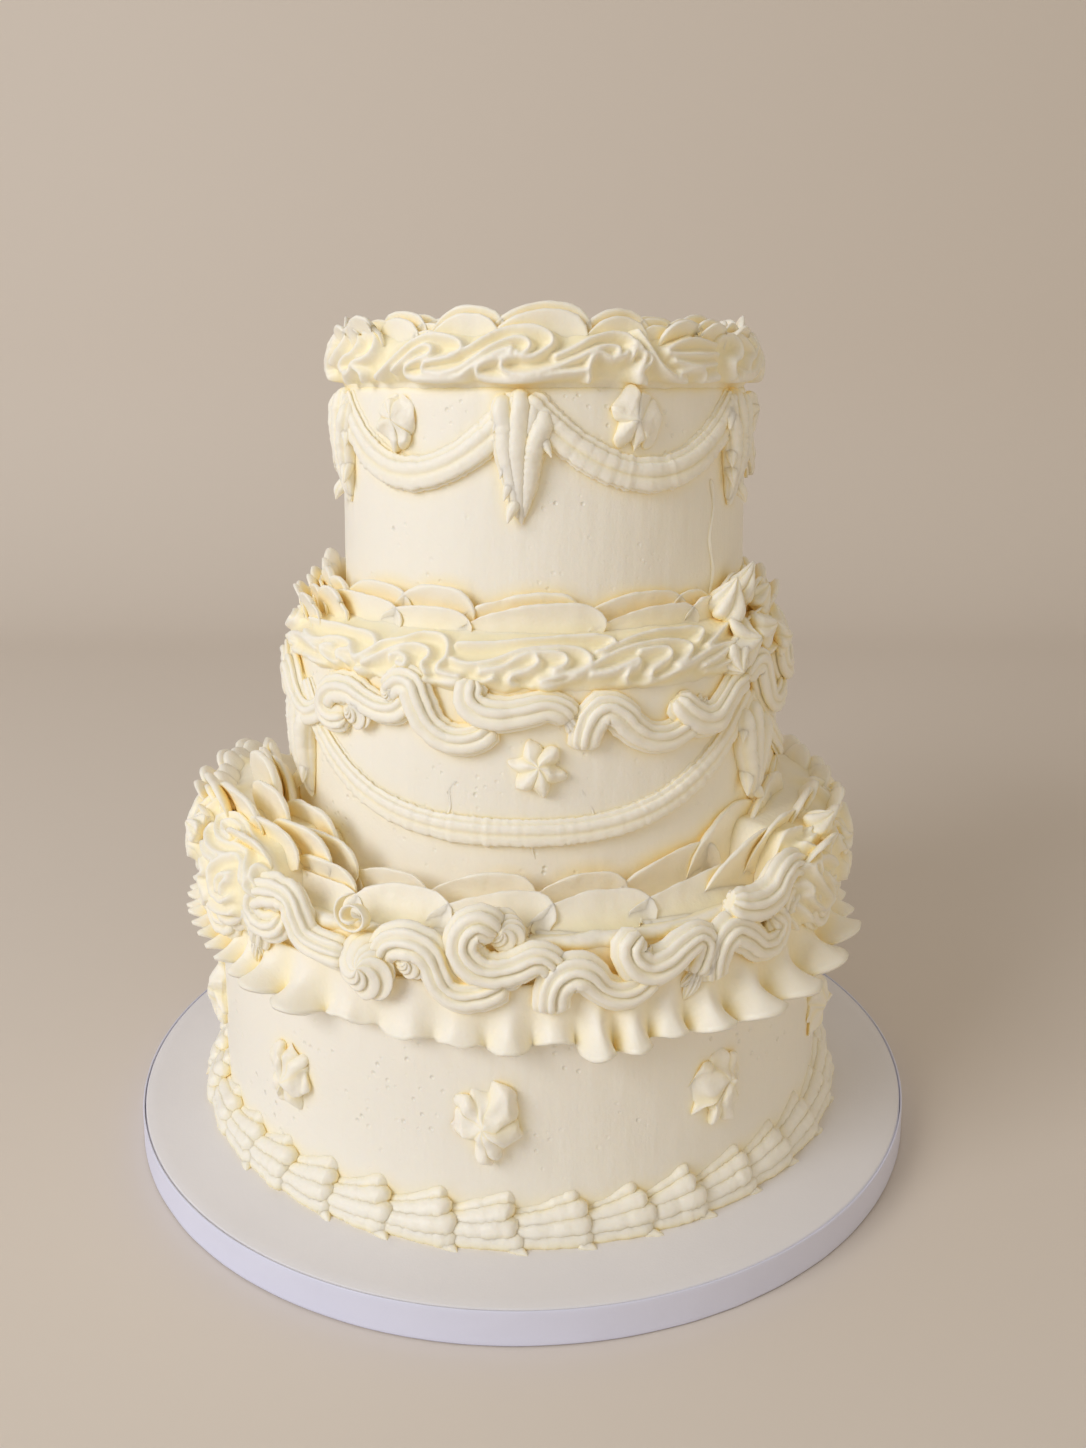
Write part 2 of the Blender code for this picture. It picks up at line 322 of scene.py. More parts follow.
def strokeMesh(name, strokes):
    # each stroke is a list of (point, facing, girth)
    mesh = bpy.data.meshes.new(name)
    points, edges, facings, girths = [], [], [], []
    for stroke in strokes:
        first = len(points)
        for point, facing, girth in stroke:
            points.append(point)
            facings.extend(facing)
            girths.append(girth)
        edges.extend((i, i + 1) for i in range(first, len(points) - 1))
    mesh.from_pydata(points, edges, [])
    mesh.attributes.new("facing", "FLOAT_VECTOR", "POINT").data.foreach_set("vector", facings)
    mesh.attributes.new("girth", "FLOAT", "POINT").data.foreach_set("value", girths)
    return mesh


def pipe(name, strokes, nozzle):
    # runs the piping bag along the strokes and returns the plain mesh
    source = bpy.data.objects.new(name + "Strokes", strokeMesh(name, strokes))
    bpy.context.scene.collection.objects.link(source)
    bag = source.modifiers.new("bag", "NODES")
    bag.node_group = pipingBag
    values = {**plainNozzle, **nozzle, "Icing": pipedCream}
    values["Ragged"] *= mm
    values["Wobble"] *= mm
    for item in pipingBag.interface.items_tree:
        if item.item_type == "SOCKET" and item.in_out == "INPUT" and item.name in values:
            bag[item.identifier] = values[item.name]
    graph = bpy.context.evaluated_depsgraph_get()
    mesh = bpy.data.meshes.new_from_object(source.evaluated_get(graph), depsgraph=graph)
    mesh.name = name
    source.modifiers.remove(bag)
    bpy.data.objects.remove(source)
    return mesh


def taperAt(length, total, taper, bluntness):
    # how far a stroke is open near its ends
    ease = 1.0
    for room, left in ((taper[0], length), (taper[1], total - length)):
        if room and left < room:
            ease = min(ease, bluntness + (1 - bluntness) * math.sqrt(max(0.0, 1 - (1 - left / room) ** 2)))
    return ease


def runs(points):
    # how far along the line each of its points lies, in millimetres
    lengths = [0.0]
    for here, there in zip(points, points[1:]):
        lengths.append(lengths[-1] + (there - here).length / mm)
    return lengths


def laid(tier, rows, tilt=0.0, taper=(4, 4), bluntness=0.3, pace=1.1, tear=0.0):
    # a stroke through (angle, z, out, girth) rows on the tier, narrowed at both ends and torn across
    line = smoothLine(rows, pace, scaled(tier, 1, 1, 0))
    points = [spot(tier, angle, z, out) for angle, z, out, girth in line]
    lengths = runs(points)
    return [(point, outward(angle, tilt), girth * mm * taperAt(length, lengths[-1], taper, bluntness)
             * (1 + tear * noise.noise(Vector((length, rows[0][0], rows[0][1])))))
            for point, (angle, z, out, girth), length in zip(points, line, lengths)]


def blade(tier, rows, lean):
    # a thin petal standing on its fold line, through (angle, z, out, height) rows; lean is its rise
    line = smoothLine(rows, 1.2, scaled(tier, 1, 1, 0))
    stroke = []
    for step, (angle, z, out, height) in enumerate(line):
        rise = lean[0] + (lean[1] - lean[0]) * step / (len(line) - 1)
        arm = max(height, 0.3) * mm / 2
        middle = spot(tier, angle, z, out) + outward(angle, rise) * arm
        stroke.append((middle, -outward(angle, rise - 90), arm))
    return stroke


# along a kiss: the share of its length and of its girth
kissProfile = (
    (0, 0.62), (0.08, 0.94), (0.2, 1.04), (0.4, 0.92), (0.62, 0.64), (0.82, 0.34), (0.94, 0.14),
    (1.0, 0.03))


def kiss(tier, angle, z, out, direction, tilt, length, girth, twist=40):
    # a star kiss: squeezed at its foot and drawn off to a point; direction 90 is up, tilt lifts it
    # off the wall, and twist in degrees winds its ribs into a rosette
    a, b = math.radians(direction), math.radians(tilt)
    side = outward(angle + 90)
    axis = (side * math.cos(a) + Vector((0, 0, math.sin(a)))) * math.cos(b) + outward(angle) * math.sin(b)
    across = axis.cross(Vector((0.3, 0.2, 0.9))).normalized()
    over = axis.cross(across)
    foot = spot(tier, angle, z, out)
    stroke = []
    for u, w in smoothLine(kissProfile, 0.04, (1, 0)):
        a = math.radians(twist) * u ** 0.7
        facing = across * math.cos(a) + over * math.sin(a)
        stroke.append((foot + axis * (u * length * mm), facing, girth * w * mm))
    return stroke


def ribbon(tier, rows, tilt, taper):
    # a thin sheet that stands out from the icing under it, its foot along (angle, z, out, height) rows
    line = smoothLine(rows, 1.0, scaled(tier, 1, 1, 0))
    feet = [spot(tier, angle, z, out) for angle, z, out, height in line]
    lengths = runs(feet)
    stroke = []
    for i, (foot, (angle, z, out, height)) in enumerate(zip(feet, line)):
        along = feet[min(i + 1, len(feet) - 1)] - feet[max(i - 1, 0)]
        arm = outward(angle, tilt)
        arm = (arm - along * (arm.dot(along) / max(along.length_squared, 1e-12))).normalized()
        reach = height * mm / 2 * taperAt(lengths[i], lengths[-1], taper, 0.15)
        stroke.append((foot + arm * reach, arm.cross(along).normalized(), reach))
    return stroke


def rose(tier, angle, z, out, size, start, sense, turns=1.55, tilt=18):
    # a sheet wound into a bud, its inner turns standing further out
    rows = []
    steps = round(turns * 10)
    for i in range(steps + 1):
        u = i / steps
        a = math.radians(start) + sense * u * turns * turn
        reach = size * (1 - 0.8 * u ** 0.9)
        rows.append((angle + degrees(tier, reach * math.cos(a)), z + reach * math.sin(a),
                     out - size * (0.3 - 0.15 * u), size * (0.6 + 0.3 * u)))
    return ribbon(tier, rows, tilt, (4, 2))


def ringNoise(a, pace, place):
    # noise that meets itself again after a turn round the tier
    return noise.noise(Vector((pace * math.sin(a), pace * math.cos(a), place)))


def bands(rows, columns, around=True, through=False):
    # quads between rows of points; around joins the last column to the first, through the last row too
    faces = []
    for r in range(rows if through else rows - 1):
        for c in range(columns if around else columns - 1):
            d, s = (c + 1) % columns, (r + 1) % rows
            faces.append((r * columns + c, r * columns + d, s * columns + d, s * columns + c))
    return faces


def smoothMesh(name, points, faces, icing, grooveShades=None):
    mesh = bpy.data.meshes.new(name)
    mesh.from_pydata(points, [], faces)
    # the last list gives each point's amount of painted shade
    if grooveShades:
        mesh.attributes.new("grooveShade", "FLOAT", "POINT").data.foreach_set("value", grooveShades)
    mesh.materials.append(icing)
    mesh.shade_smooth()
    return mesh


def lathe(name, rings, columns, icing, tier):
    # closed surface of rings, from the foot's centre to the top's centre; a ring is a function of the angle
    points = []
    for ring in rings:
        for c in range(columns):
            angle = 360 * c / columns
            z, out = ring(angle)
            points.append(spot(tier, angle, z, out))
    faces = bands(len(rings), columns)
    for ring, order in ((0, -1), (len(rings) - 1, 1)):
        middle = len(points)
        edge = points[ring * columns:(ring + 1) * columns]
        points.append(sum(edge, Vector()) / columns)
        for c in range(columns):
            pair = (ring * columns + c, ring * columns + (c + 1) % columns)
            faces.append((middle, *pair[::order]))
    return smoothMesh(name, points, faces, icing)


def ringBody(name, tier, outline, columns, icing, ripple):
    # a closed outline of (z, out) carried round the tier; ripple moves its points
    points = []
    for z, out in outline:
        for c in range(columns):
            angle = 360 * c / columns
            shift = ripple(angle, z, out)
            points.append(spot(tier, angle, z + shift[0], out + shift[1]))
    return smoothMesh(name, points, bands(len(outline), columns, through=True), icing)


wallLook = {"columns": 300, "pace": 3.0, "wave": 0.5, "stroke": 0.2, "edge": 3.0, "swirl": 0.5}
wallMarks = (
    (topTier, "tier_top", 0.9, 1.4,
     (((49.5, 273), (50.6, 262), (49.2, 250), (51.0, 238), (49.6, 226), (50.2, 219)),)),
    (middleTier, "tier_middle", 0.5, 0.9,
     (((-14.0, 176), (-15.4, 170), (-17.2, 166), (-17.8, 158), (-20.4, 151)),
      ((9.0, 167), (11.2, 161), (12.0, 154), (10.4, 148)),
      ((-0.6, 152), (0.4, 148), (-0.8, 145), (-0.2, 141)), ((0.2, 129), (1.4, 125.5), (0.9, 121)))))


def wall(name, tier, node, seed):
    # the iced tier: a nearly smooth wall with knife marks, a soft edge and a top spread in a spiral
    look = wallLook

    def uneven(angle, z):
        a = math.radians(angle)
        broad, fine = ringNoise(a, 1.6, z / 45 + seed), ringNoise(a, 22, z / 16 + seed)
        return look["wave"] * broad + look["stroke"] * fine

    def side(z, out):
        return lambda angle: (z, out + uneven(angle, z))

    def cover(reach):
        # the spiral left by the spreading knife
        def ring(angle):
            wave = math.sin(reach / 5 * turn / 2 + math.radians(angle)) - 1
            return tier["top"] + look["swirl"] * wave * min(1, reach / 10), reach - tier["r"]

        return ring

    rings = [lambda angle: (tier["foot"], -tier["r"] * 0.5), side(tier["foot"], -0.8)]
    foot, top, edge = tier["foot"], tier["top"], look["edge"]
    steps = round((top - edge - foot) / look["pace"])
    rings += [side(foot + (top - edge - foot) * i / steps, 0.0) for i in range(1, steps + 1)]
    rings += [side(top - edge + edge * math.sin(math.radians(a)), -edge * (1 - math.cos(math.radians(a))))
              for a in (22, 45, 68)]
    reach = tier["r"] - edge
    while reach > 4:
        rings.append(cover(reach))
        reach -= 1.6
    finished(name, lathe(name, rings, look["columns"], wallCream, tier), (node,))


def marks():
    # a seam left by the knife and hairline cracks in the icing, both raised a little
    for tier, node, girth, sway, lines in wallMarks:
        rng = random.Random(len(lines))
        strokes = []
        for line in lines:
            rows = [(angle + rng.uniform(-0.3, 0.3), z, -0.1 * girth, girth * rng.uniform(0.7, 1.2))
                    for angle, z in line]
            strokes.append(laid(tier, rows, 0, (3, 3), 0.3, 0.8))
        name = node.split("_")[1] + "Marks"
        finished(name, pipe(name, strokes, {"Sides": 10, "Ragged": 0.3, "Wobble": sway}), (node,))


wall("bottomCake", bottomTier, "tier_bottom", 3.0)
wall("middleCake", middleTier, "tier_middle", 11.0)
wall("topCake", topTier, "tier_top", 19.0)
marks()
print("three iced tiers")


boardShape = {"edge": 0.9, "crease": 0.25, "columns": 256}


def board():
    # a foam drum in paper, with a paper band glued round its edge
    shape = boardShape
    low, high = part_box("board")
    drum = {"x": (low[0] + high[0]) / 2 / mm, "r": (high[0] - low[0]) / 2 / mm}
    foot, top, edge = low[2] / mm, high[2] / mm, shape["edge"]

    def even(z, out):
        return lambda angle: (z, out)

    rings = [even(foot, -drum["r"] * 0.5), even(foot, -edge), even(foot + edge * 0.3, -edge * 0.3),
             even(foot + edge, 0), even((foot + top) / 2, 0), even(top - edge, 0),
             even(top - edge * 0.3, -edge * 0.3), even(top, -edge)]
    rings += [even(top, -drum["r"] * share) for share in (0.03, 0.1, 0.2, 0.4, 0.7, 0.95)]
    mesh = lathe("cakeBoard", rings, shape["columns"], boardPaper, drum)
    finished("cakeBoard", mesh, ("board",))

    low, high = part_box("board_ribbon")
    bandOut = (high[0] - low[0]) / 2 / mm - drum["r"]
    foot, top = low[2] / mm, high[2] / mm

    def crumpled(angle, z, out):
        if out < bandOut - 0.5:
            return 0.0, 0.0
        a = math.radians(angle)
        return 0.2 * ringNoise(a, 5, 4), -shape["crease"] * abs(ringNoise(a, 9, z / 14))

    outline = [(foot, bandOut - 0.7), (foot, bandOut - 0.1), (foot + 0.4, bandOut)]
    outline += [(foot + (top - foot) * i / 8, bandOut) for i in range(1, 8)]
    outline += [(top - 0.4, bandOut), (top, bandOut - 0.1), (top, bandOut - 0.7)]
    mesh = ringBody("boardBand", drum, outline, shape["columns"], bandPaper, crumpled)
    finished("boardBand", mesh, ("board_ribbon",))


board()
print("board and its band")


shellShape = {
    "count": 36, "foot": 13.0,
    "bands": ((7.2, -0.6, 3.0, 62), (3.8, 2.8, 3.4, 50), (-0.2, 5.3, 3.5, 36), (-4.3, 6.3, 3.3, 20)),
    "nozzle": {
        "Teeth": 3.0, "Depth": 0.24, "Crest": 0.6, "Flatness": 0.76, "Blunt": 0.4, "Sides": 17,
        "Ragged": 0.9, "Wobble": 1.8, "Seed": 4.0},
    "rib": ((-3.0, 0.5, -0.6, 0.72), (-2.1, 0.56, -0.5, 0.8), (-1.2, 0.68, 0, 0.9),
            (-0.3, 0.86, 0.8, 1.02), (0.4, 1.02, 1.7, 1.14), (0.8, 1.04, 1.7, 1.14),
            (1.04, 0.98, 0.6, 0.84)),
    "peaks": 0.6, "peak": ((6, 3.6, 6.8, 2.8), (9.5, 5.0, 8.6, 2.0), (12, 5.4, 10.4, 0.3))}


def shellBorder():
    # shells squeezed one after another round the foot: their ribs fan out and end in blunt hooks
    shape = shellShape
    rng = random.Random(12)
    step = degrees(bottomTier, 1.0)
    strokes = []
    for i in range(shape["count"]):
        at = 360 / shape["count"] * i - 3.5 + rng.uniform(-0.7, 0.7)
        size = rng.uniform(0.94, 1.06)
        lift = shape["foot"] + 5.0 * size
        for rib, (high, out, girth, tilt) in enumerate(shape["bands"]):
            end = 7.4 + 0.9 * rib + rng.uniform(-1.4, 1.4)
            rows = [(at + x * end * step, lift + size * high * fan + up, out * (0.62 + 0.38 * fan),
                     size * girth * wide) for x, fan, up, wide in shape["rib"]]
            strokes.append(laid(bottomTier, rows, tilt + rng.uniform(-5, 5), (3, 1.6), 0.5, 1.2, 0.16))
        # the torn peak at the lower corner
        if rng.random() < shape["peaks"]:
            rows = [(at + x * step, lift - drop, out, girth) for x, drop, out, girth in shape["peak"]]
            strokes.append(laid(bottomTier, rows, 40, (1, 1), 0.3, 1.0))
    finished("shellBorder", pipe("shellBorder", strokes, shape["nozzle"]), ("shell_border",))


shellBorder()
print("shell border")


starShape = {
    "bottom": {
        "tier": bottomTier, "angles": (-40, -4.3, 34.4, 70, 106, 142, 178, 214, 250, 285), "z": 57,
        "size": 11.4, "rise": 6.2, "sag": 1.1, "hang": 0.6, "crumple": 2.3,
        "nozzle": {
            "Teeth": 7.0, "Depth": 0.32, "Crest": 0.55, "Point": 0.35, "Uneven": 0.3, "Wobble": 6.5}},
    "middle": {
        "tier": middleTier, "angles": (0.3, 113, 236), "z": 175, "size": 9.2, "rise": 6.0, "sag": 1.04,
        "hang": 0.0, "crumple": 1.2,
        "nozzle": {"Teeth": 6.0, "Depth": 0.42, "Crest": 0.8, "Point": 0.6, "Wobble": 4.0}},
    "top": {
        "tier": topTier, "angles": (-40, 22.8, 90, 149, 207.5, 265.5), "z": 296.0, "size": 7.9,
        "rise": 6.2, "sag": 1.14, "hang": 2.0, "crumple": 2.2,
        "nozzle": {"Teeth": 5.0, "Depth": 0.42, "Crest": 0.45, "Uneven": 0.45, "Wobble": 7.0}}}
starProfile = (
    (-0.6, 0.86), (-0.1, 1.04), (0.1, 1.14), (0.28, 1.12), (0.46, 0.98), (0.64, 0.76), (0.8, 0.5),
    (0.92, 0.26), (1.04, 0.05))


# the stars' sizes differ, the finish of their icing doesn't
starNozzle = {"Sides": 98, "Ragged": 0.6}
# noise_vector would take its seed from the clock
crumpleSeed = 1795414103


def starRows(tier, angle, z, size, rise, rng):
    # squeezed flat against the wall and pulled off: creases run from the rim to the torn middle
    side = outward(angle + 90)
    up = Vector((0, 0, 1))
    start, twist = rng.uniform(0, turn), rng.uniform(0.15, 0.45) * rng.choice((-1, 1))
    lean = (rng.uniform(-1.5, 1.5), rng.uniform(-1.0, 1.5))
    stroke = []
    for share, girth in smoothLine(starProfile, 0.07, (1, 1)):
        a = start + twist * share
        place = spot(tier, angle, z, rise * share) + (side * lean[0] + up * lean[1]) * (mm * share * share)
        stroke.append((place, side * math.cos(a) + up * math.sin(a), size * girth * mm))
    return stroke


def stars():
    rng = random.Random(31)
    noise.seed_set(crumpleSeed)
    for row, shape in starShape.items():
        for i, angle in enumerate(shape["angles"], 1):
            size = shape["size"] * rng.uniform(0.92, 1.06)
            strokes = [starRows(shape["tier"], angle, shape["z"], size, shape["rise"], rng)]
            nozzle = {**shape["nozzle"], **starNozzle, "Seed": rng.uniform(0, 50)}
            name = f"{row}Star{i}"
            mesh = pipe(name, strokes, nozzle)
            for point in mesh.vertices:
                # they crumple and sag a little before they set
                over = (point.co.z - shape["z"] * mm) / (shape["size"] * mm)
                point.co.z = (shape["z"] + over * shape["size"] * shape["sag"]
                              - min(over, 0.0) ** 2 * shape["hang"]) * mm
                point.co += noise.noise_vector(point.co * 150 + Vector((i, 0, 0))) * shape["crumple"] * mm
            finished(name, mesh, (f"star_{row}_{i}",))


stars()
print("drop stars")


frillShape = {
    "flutes": (
        (-102, 92, 0.9), (-97, 91, 1.0), (-92, 92, 0.9), (-87, 93, 1.0), (-82, 94, 0.9), (-77.5, 95, 0.9),
        (-73, 96, 0.9), (-69, 96.5, 0.9), (-65, 96, 0.9), (-61, 95.5, 0.9), (-57, 95, 0.9), (-53, 94, 0.9),
        (-48.6, 93, 0.9), (-43, 93.5, 1.15), (-34.9, 91.0, 1.15), (-26, 91.5, 0.45), (-16, 88.5, 0.5),
        (-8, 88, 0.5), (-0.5, 86.5, 0.75), (6, 89.5, 0.5), (12.2, 84.5, 1.15), (17.6, 84.5, 1.0),
        (23.6, 87.5, 0.8), (30, 86.5, 1.2), (38.6, 86.5, 1.5), (47.5, 87.5, 1.5), (56.5, 90, 1.5),
        (66, 93, 1.4), (75, 92, 1.0)),
    "pitch": 8.1, "hem": 91.0, "top": 108.0, "thickness": 1.5, "perFlute": 18, "rows": 20, "reach": 8.4,
    "pinch": -0.4, "flare": 1.7}


def frill():
    # a petal-tip ruffle hung under the scroll: fluted cones that open into a thick torn hem
    shape = frillShape
    rng = random.Random(41)
    flutes = list(shape["flutes"])
    # the flutes that are given, then even ones round the back to the first one again
    end, last = flutes[-1][0], flutes[0][0] + 360
    extra = round((last - end) / shape["pitch"]) - 1
    step = (last - end) / (extra + 1)
    flutes += [(end + step + rng.uniform(-1.2, 1.2) + step * i, shape["hem"] + rng.uniform(-2, 2),
                rng.uniform(0.7, 1.15)) for i in range(extra)]
    flutes.append((last, *flutes[0][1:]))
    points, grooveShades = [], []
    for r in range(shape["rows"] + 1):
        u = r / shape["rows"]
        for here, after in zip(flutes, flutes[1:]):
            for k in range(shape["perFlute"]):
                share = k / shape["perFlute"]
                ease = share * share * (3 - 2 * share)
                angle, hem, depth = (a + (b - a) * w for a, b, w in zip(here, after, (share, ease, ease)))
                a = math.radians(angle)
                crest = (0.5 + 0.5 * math.cos(turn * share)) ** 0.8
                bell = max(0.0, (u - 0.55) / 0.45) ** 2
                tear, fine = ringNoise(a, 26, 5), ringNoise(a, 80, 2)
                out = 2.4 + 0.8 * u + depth * crest * (shape["reach"] * u ** 1.4 + 3.6 * bell)
                z = shape["top"] + (hem - 0.8 - shape["top"]) * u + 4.4 * depth * (crest - 0.25) * u * u
                z += 1.6 * u * tear + 0.6 * bell * fine
                slide = (shape["pinch"] * u + shape["flare"] * bell) * depth * math.sin(turn * share)
                angle += slide * (after[0] - here[0]) / 8
                points.append(spot(bottomTier, angle, z, out + 0.5 * bell * fine))
                # painted shade: the pockets between flutes are tinted warm yellow, less at the flared hem
                grooveShades.append(0.5 * (1 - crest) * min(1.0, depth) * (1 - 0.5 * bell) * min(1.0, (1 - u) * 9))
    # the rows run downwards, so the quads are turned to face outwards
    rows = shape["rows"] + 1
    faces = [(b, a, d, c) for a, b, c, d in bands(rows, len(points) // rows)]
    piece = finished("frill", smoothMesh("frill", points, faces, pipedCream, grooveShades), ("frill_bottom",))
    skin = piece.modifiers.new("thickness", "SOLIDIFY")
    skin.thickness = shape["thickness"] * mm
    skin.offset = -1


frill()
print("frill")


scrollNozzle = {
    "Teeth": 8.0, "Depth": 0.4, "Crest": 0.5, "Uneven": 0.16, "Flatness": 0.8, "Sides": 52, "Ragged": 0.5,
    "Wobble": 1.2}
tongues = ((-30, 7.5, 2.6), (2, 10.0, 3.0), (30, 7.0, 2.5))
bottomScrollShape = {
    "out": 4.4, "girth": 7.4,
    "kisses": (
        (-21.8, 111.4, 6, 10.5), (-15.3, 115.5, 5, 6), (-1.5, 127.0, 2.0, 7.0), (56.0, 118.0, 4.5, 8.0)),
    "strokes": (
        ((35.0, 128.2), (37.4, 125.2), (41.2, 124.2), (44.2, 126.6), (46.0, 131.0), (48.6, 133.4),
         (51.4, 131.2), (52.2, 126.2), (51.0, 121.0)),
        ((-38.6, 121.6), (-39.4, 117.8), (-42.4, 116.0), (-45.0, 119.6), (-44.2, 125.4), (-40.4, 129.0),
         (-36.5, 128.3), (-34.9, 121.8), (-33.3, 116.1), (-29.6, 113.8), (-25.9, 113.2)),
        ((-19.5, 114.5), (-18.8, 119.5), (-16.6, 122.2), (-13.9, 121.9), (-12.0, 118.8), (-11.0, 113.2),
         (-9.8, 107.7), (-7.5, 105.2), (-4.1, 106.7), (-1.5, 109.8)),
        ((-2.4, 127.2), (-4.8, 130.5), (-6.8, 127.5), (-7.3, 121.8), (-5.8, 116.6), (-3.4, 114.3),
         (-0.2, 115.5), (2.9, 118.6), (4.8, 117.4), (6.1, 113.0)),
        ((5.5, 98.7), (5.6, 105.9), (6.6, 111.1), (8.7, 113.7), (11.0, 111.8), (12.8, 107.0),
         (15.3, 104.1), (18.1, 104.6), (20.6, 108.7)),
        ((18.9, 123.1), (17.3, 120.0), (18.0, 114.8), (20.2, 111.7), (23.2, 113.4), (25.5, 117.0),
         (28.3, 119.3), (29.8, 115.9), (29.3, 110.2), (28.3, 104.9)),
        ((31.9, 101.2), (31.8, 108.8), (32.9, 115.6), (35.1, 118.0), (38.4, 113.6), (41.2, 108.1),
         (44.6, 107.5), (46.3, 112.8), (44.0, 117.9))),
    "seed": 7, "repeated": (2, 3, 4, 5), "first": 68.0, "step": 54.6, "copies": 5}
middleScrollShape = {
    "out": 1.6, "girth": 6.9, "kisses": ((-38.4, 190.6, 3.0, 7.0), (-29.5, 199.5, 3.0, 5.0)),
    "strokes": (
        ((-42.6, 187.2), (-46.7, 185.7), (-48.9, 189.6), (-45.8, 196.1), (-40.5, 197.8), (-36.6, 195.2),
         (-32.4, 193.0), (-28.5, 193.6), (-26.2, 197.8)),
        ((-30.9, 199.0), (-27.9, 203.7), (-24.8, 203.2), (-23.3, 197.3), (-21.2, 190.1), (-17.9, 185.6),
         (-14.1, 184.7), (-10.5, 186.9), (-8.6, 190.4)),
        ((-12.4, 206.5), (-12.8, 200.0), (-10.5, 195.9), (-6.7, 194.8), (-2.0, 196.1), (2.3, 197.8),
         (5.5, 195.9), (6.9, 192.6)),
        ((9.4, 181.6), (9.9, 187.7), (11.3, 193.7), (13.8, 196.3), (16.6, 193.8), (19.5, 188.2),
         (22.9, 184.6), (26.9, 183.7), (31.1, 186.3), (34.1, 189.9)),
        ((29.1, 197.2), (31.6, 192.1), (35.4, 188.0), (39.0, 188.4), (41.9, 192.8), (45.0, 197.5),
         (49.3, 199.5))),
    "seed": 8, "repeated": (1, 2, 3), "first": 80.0, "step": 65.5, "copies": 4}


def scroll(name, node, tier, shape):
    # hooked lengths of rope laid over one another; the back repeats some of the front ones
    rng = random.Random(shape["seed"])
    plans = [(line, 0.0) for line in shape["strokes"]]
    for k in range(shape["copies"]):
        for i in shape["repeated"]:
            plans.append((shape["strokes"][i], shape["first"] + shape["step"] * k + rng.uniform(-1.2, 1.2)))
    strokes = []
    for line, shift in plans:
        lift = 0.0 if shift == 0 else rng.uniform(-1.2, 1.2)
        rows = []
        for j, (angle, z) in enumerate(line):
            share = j / (len(line) - 1)
            girth = shape["girth"] * (0.86 + 0.16 * math.sin(math.pi * min(1, share * 1.6)))
            out = shape["out"] + 1.2 * math.sin(math.pi * share) - 0.8
            rows.append((angle + shift, z + lift, out, girth))
        strokes.append(laid(tier, rows, 12, (1.5, 3.0), 0.6, 2.0, 0.09))
        # the rope's ribs part where the bag is pulled off
        (fromAngle, fromZ, _, _), (atAngle, atZ, atOut, _) = rows[-2:]
        along = math.degrees(math.atan2(atZ - fromZ, (atAngle - fromAngle) / degrees(tier, 1.0)))
        for bend, length, girth in tongues:
            a = math.radians(along + bend)
            length *= rng.uniform(0.8, 1.15)
            steps = ((-4, 0.4, 1.0), (length * 0.3, 0.6, 1.0), (length * 0.7, 0.0, 0.7), (length, -1.0, 0.15))
            rows = [(atAngle + degrees(tier, reach * math.cos(a)), atZ + reach * math.sin(a), atOut + rise,
                     girth * width) for reach, rise, width in steps]
            strokes.append(laid(tier, rows, 10, (1, 0), 0.5, 1.4))
    for angle, z, out, size in shape["kisses"]:
        strokes.append(kiss(tier, angle, z, out - 2.0, 100, 72, size * 0.95, size * 1.15, 170))
    finished(name, pipe(name, strokes, dict(scrollNozzle, Seed=float(shape["seed"]))), (node,))


scroll("bottomScroll", "scroll_bottom", bottomTier, bottomScrollShape)
scroll("middleScroll", "scroll_middle", middleTier, middleScrollShape)
print("scrolls")


swagShape = {
    "top": {
        "tier": topTier, "out": 0.3, "girth": 7.2, "low": 276.5, "rise": 27, "power": 2.0,
        "ends": (-66, -4.7, 59.5, 120, 178, 237, 294)},
    "middle": {
        "tier": middleTier, "out": 0.2, "girth": 5.7, "low": 151.5, "rise": 42, "power": 3.0,
        "ends": (-62, 52, 175, 298)}}
swagNozzle = {
    "Teeth": 8.0, "Depth": 0.34, "Crest": 0.5, "Uneven": 0.3, "Flatness": 0.66, "Sides": 56, "Ragged": 0.8,
    "Wobble": 0.6}


def swags():
    # ropes slung between the drops; the bag is dragged, so the ridges are rough
    for row, shape in swagShape.items():
        ends = shape["ends"]
        for i in range(len(ends) - 1):
            left, right = ends[i], ends[i + 1]
            rows = []
            for k in range(13):
                s = -1 + 2 * k / 12
                z = shape["low"] + shape["rise"] * abs(s) ** shape["power"]
                rows.append(((left + right) / 2 + s * (right - left) / 2 * 0.985, z, shape["out"],
                             shape["girth"] * (1.0 - 0.12 * abs(s))))
            strokes = [laid(shape["tier"], rows, 14, (3, 3), 0.5, 1.1, 0.13)]
            name = f"{row}Swag{i + 1}"
            mesh = pipe(name, strokes, dict(swagNozzle, Seed=2.2 + 0.1 * i))
            finished(name, mesh, (f"swag_{row}_{i + 1}",))


swags()
print("swags")


dropShape = {
    "top": {"tier": topTier, "angles": (-66, -4.7, 59.5, 120, 178, 237), "top": 307.0, "out": 0.4},
    "middle": {"tier": middleTier, "angles": (-62, 52, 175), "top": 190, "out": 0.8},
    "lobes": (
        ((-7.6, -2, 2.6), (-8.6, -7, 4.4), (-7.6, -14, 4.8), (-7.4, -20, 4.6), (-5.2, -28, 4.2),
         (-3.0, -36, 3.2), (-0.8, -44, 1.4)),
        ((-1.2, 0, 2.6), (-1.0, -6, 4.4), (-1.8, -14, 4.8), (-1.8, -24, 4.6), (-1.0, -34, 3.6),
         (0.2, -46, 1.0)),
        ((5.8, -1, 0.8), (4.6, -5, 2.8), (3.4, -11, 3.4), (1.8, -18, 3.2)),
        ((7.2, -6, 2.6), (7.8, -11, 4.6), (5.4, -17, 4.8), (3.4, -25, 4.4), (2.2, -35, 3.2),
         (0.8, -44, 1.0))),
    "tongue": ((0.6, -2, 2.2), (0.95, 1.5, 2.8), (1.25, 4, 2.0), (1.5, 7.5, 0.2))}
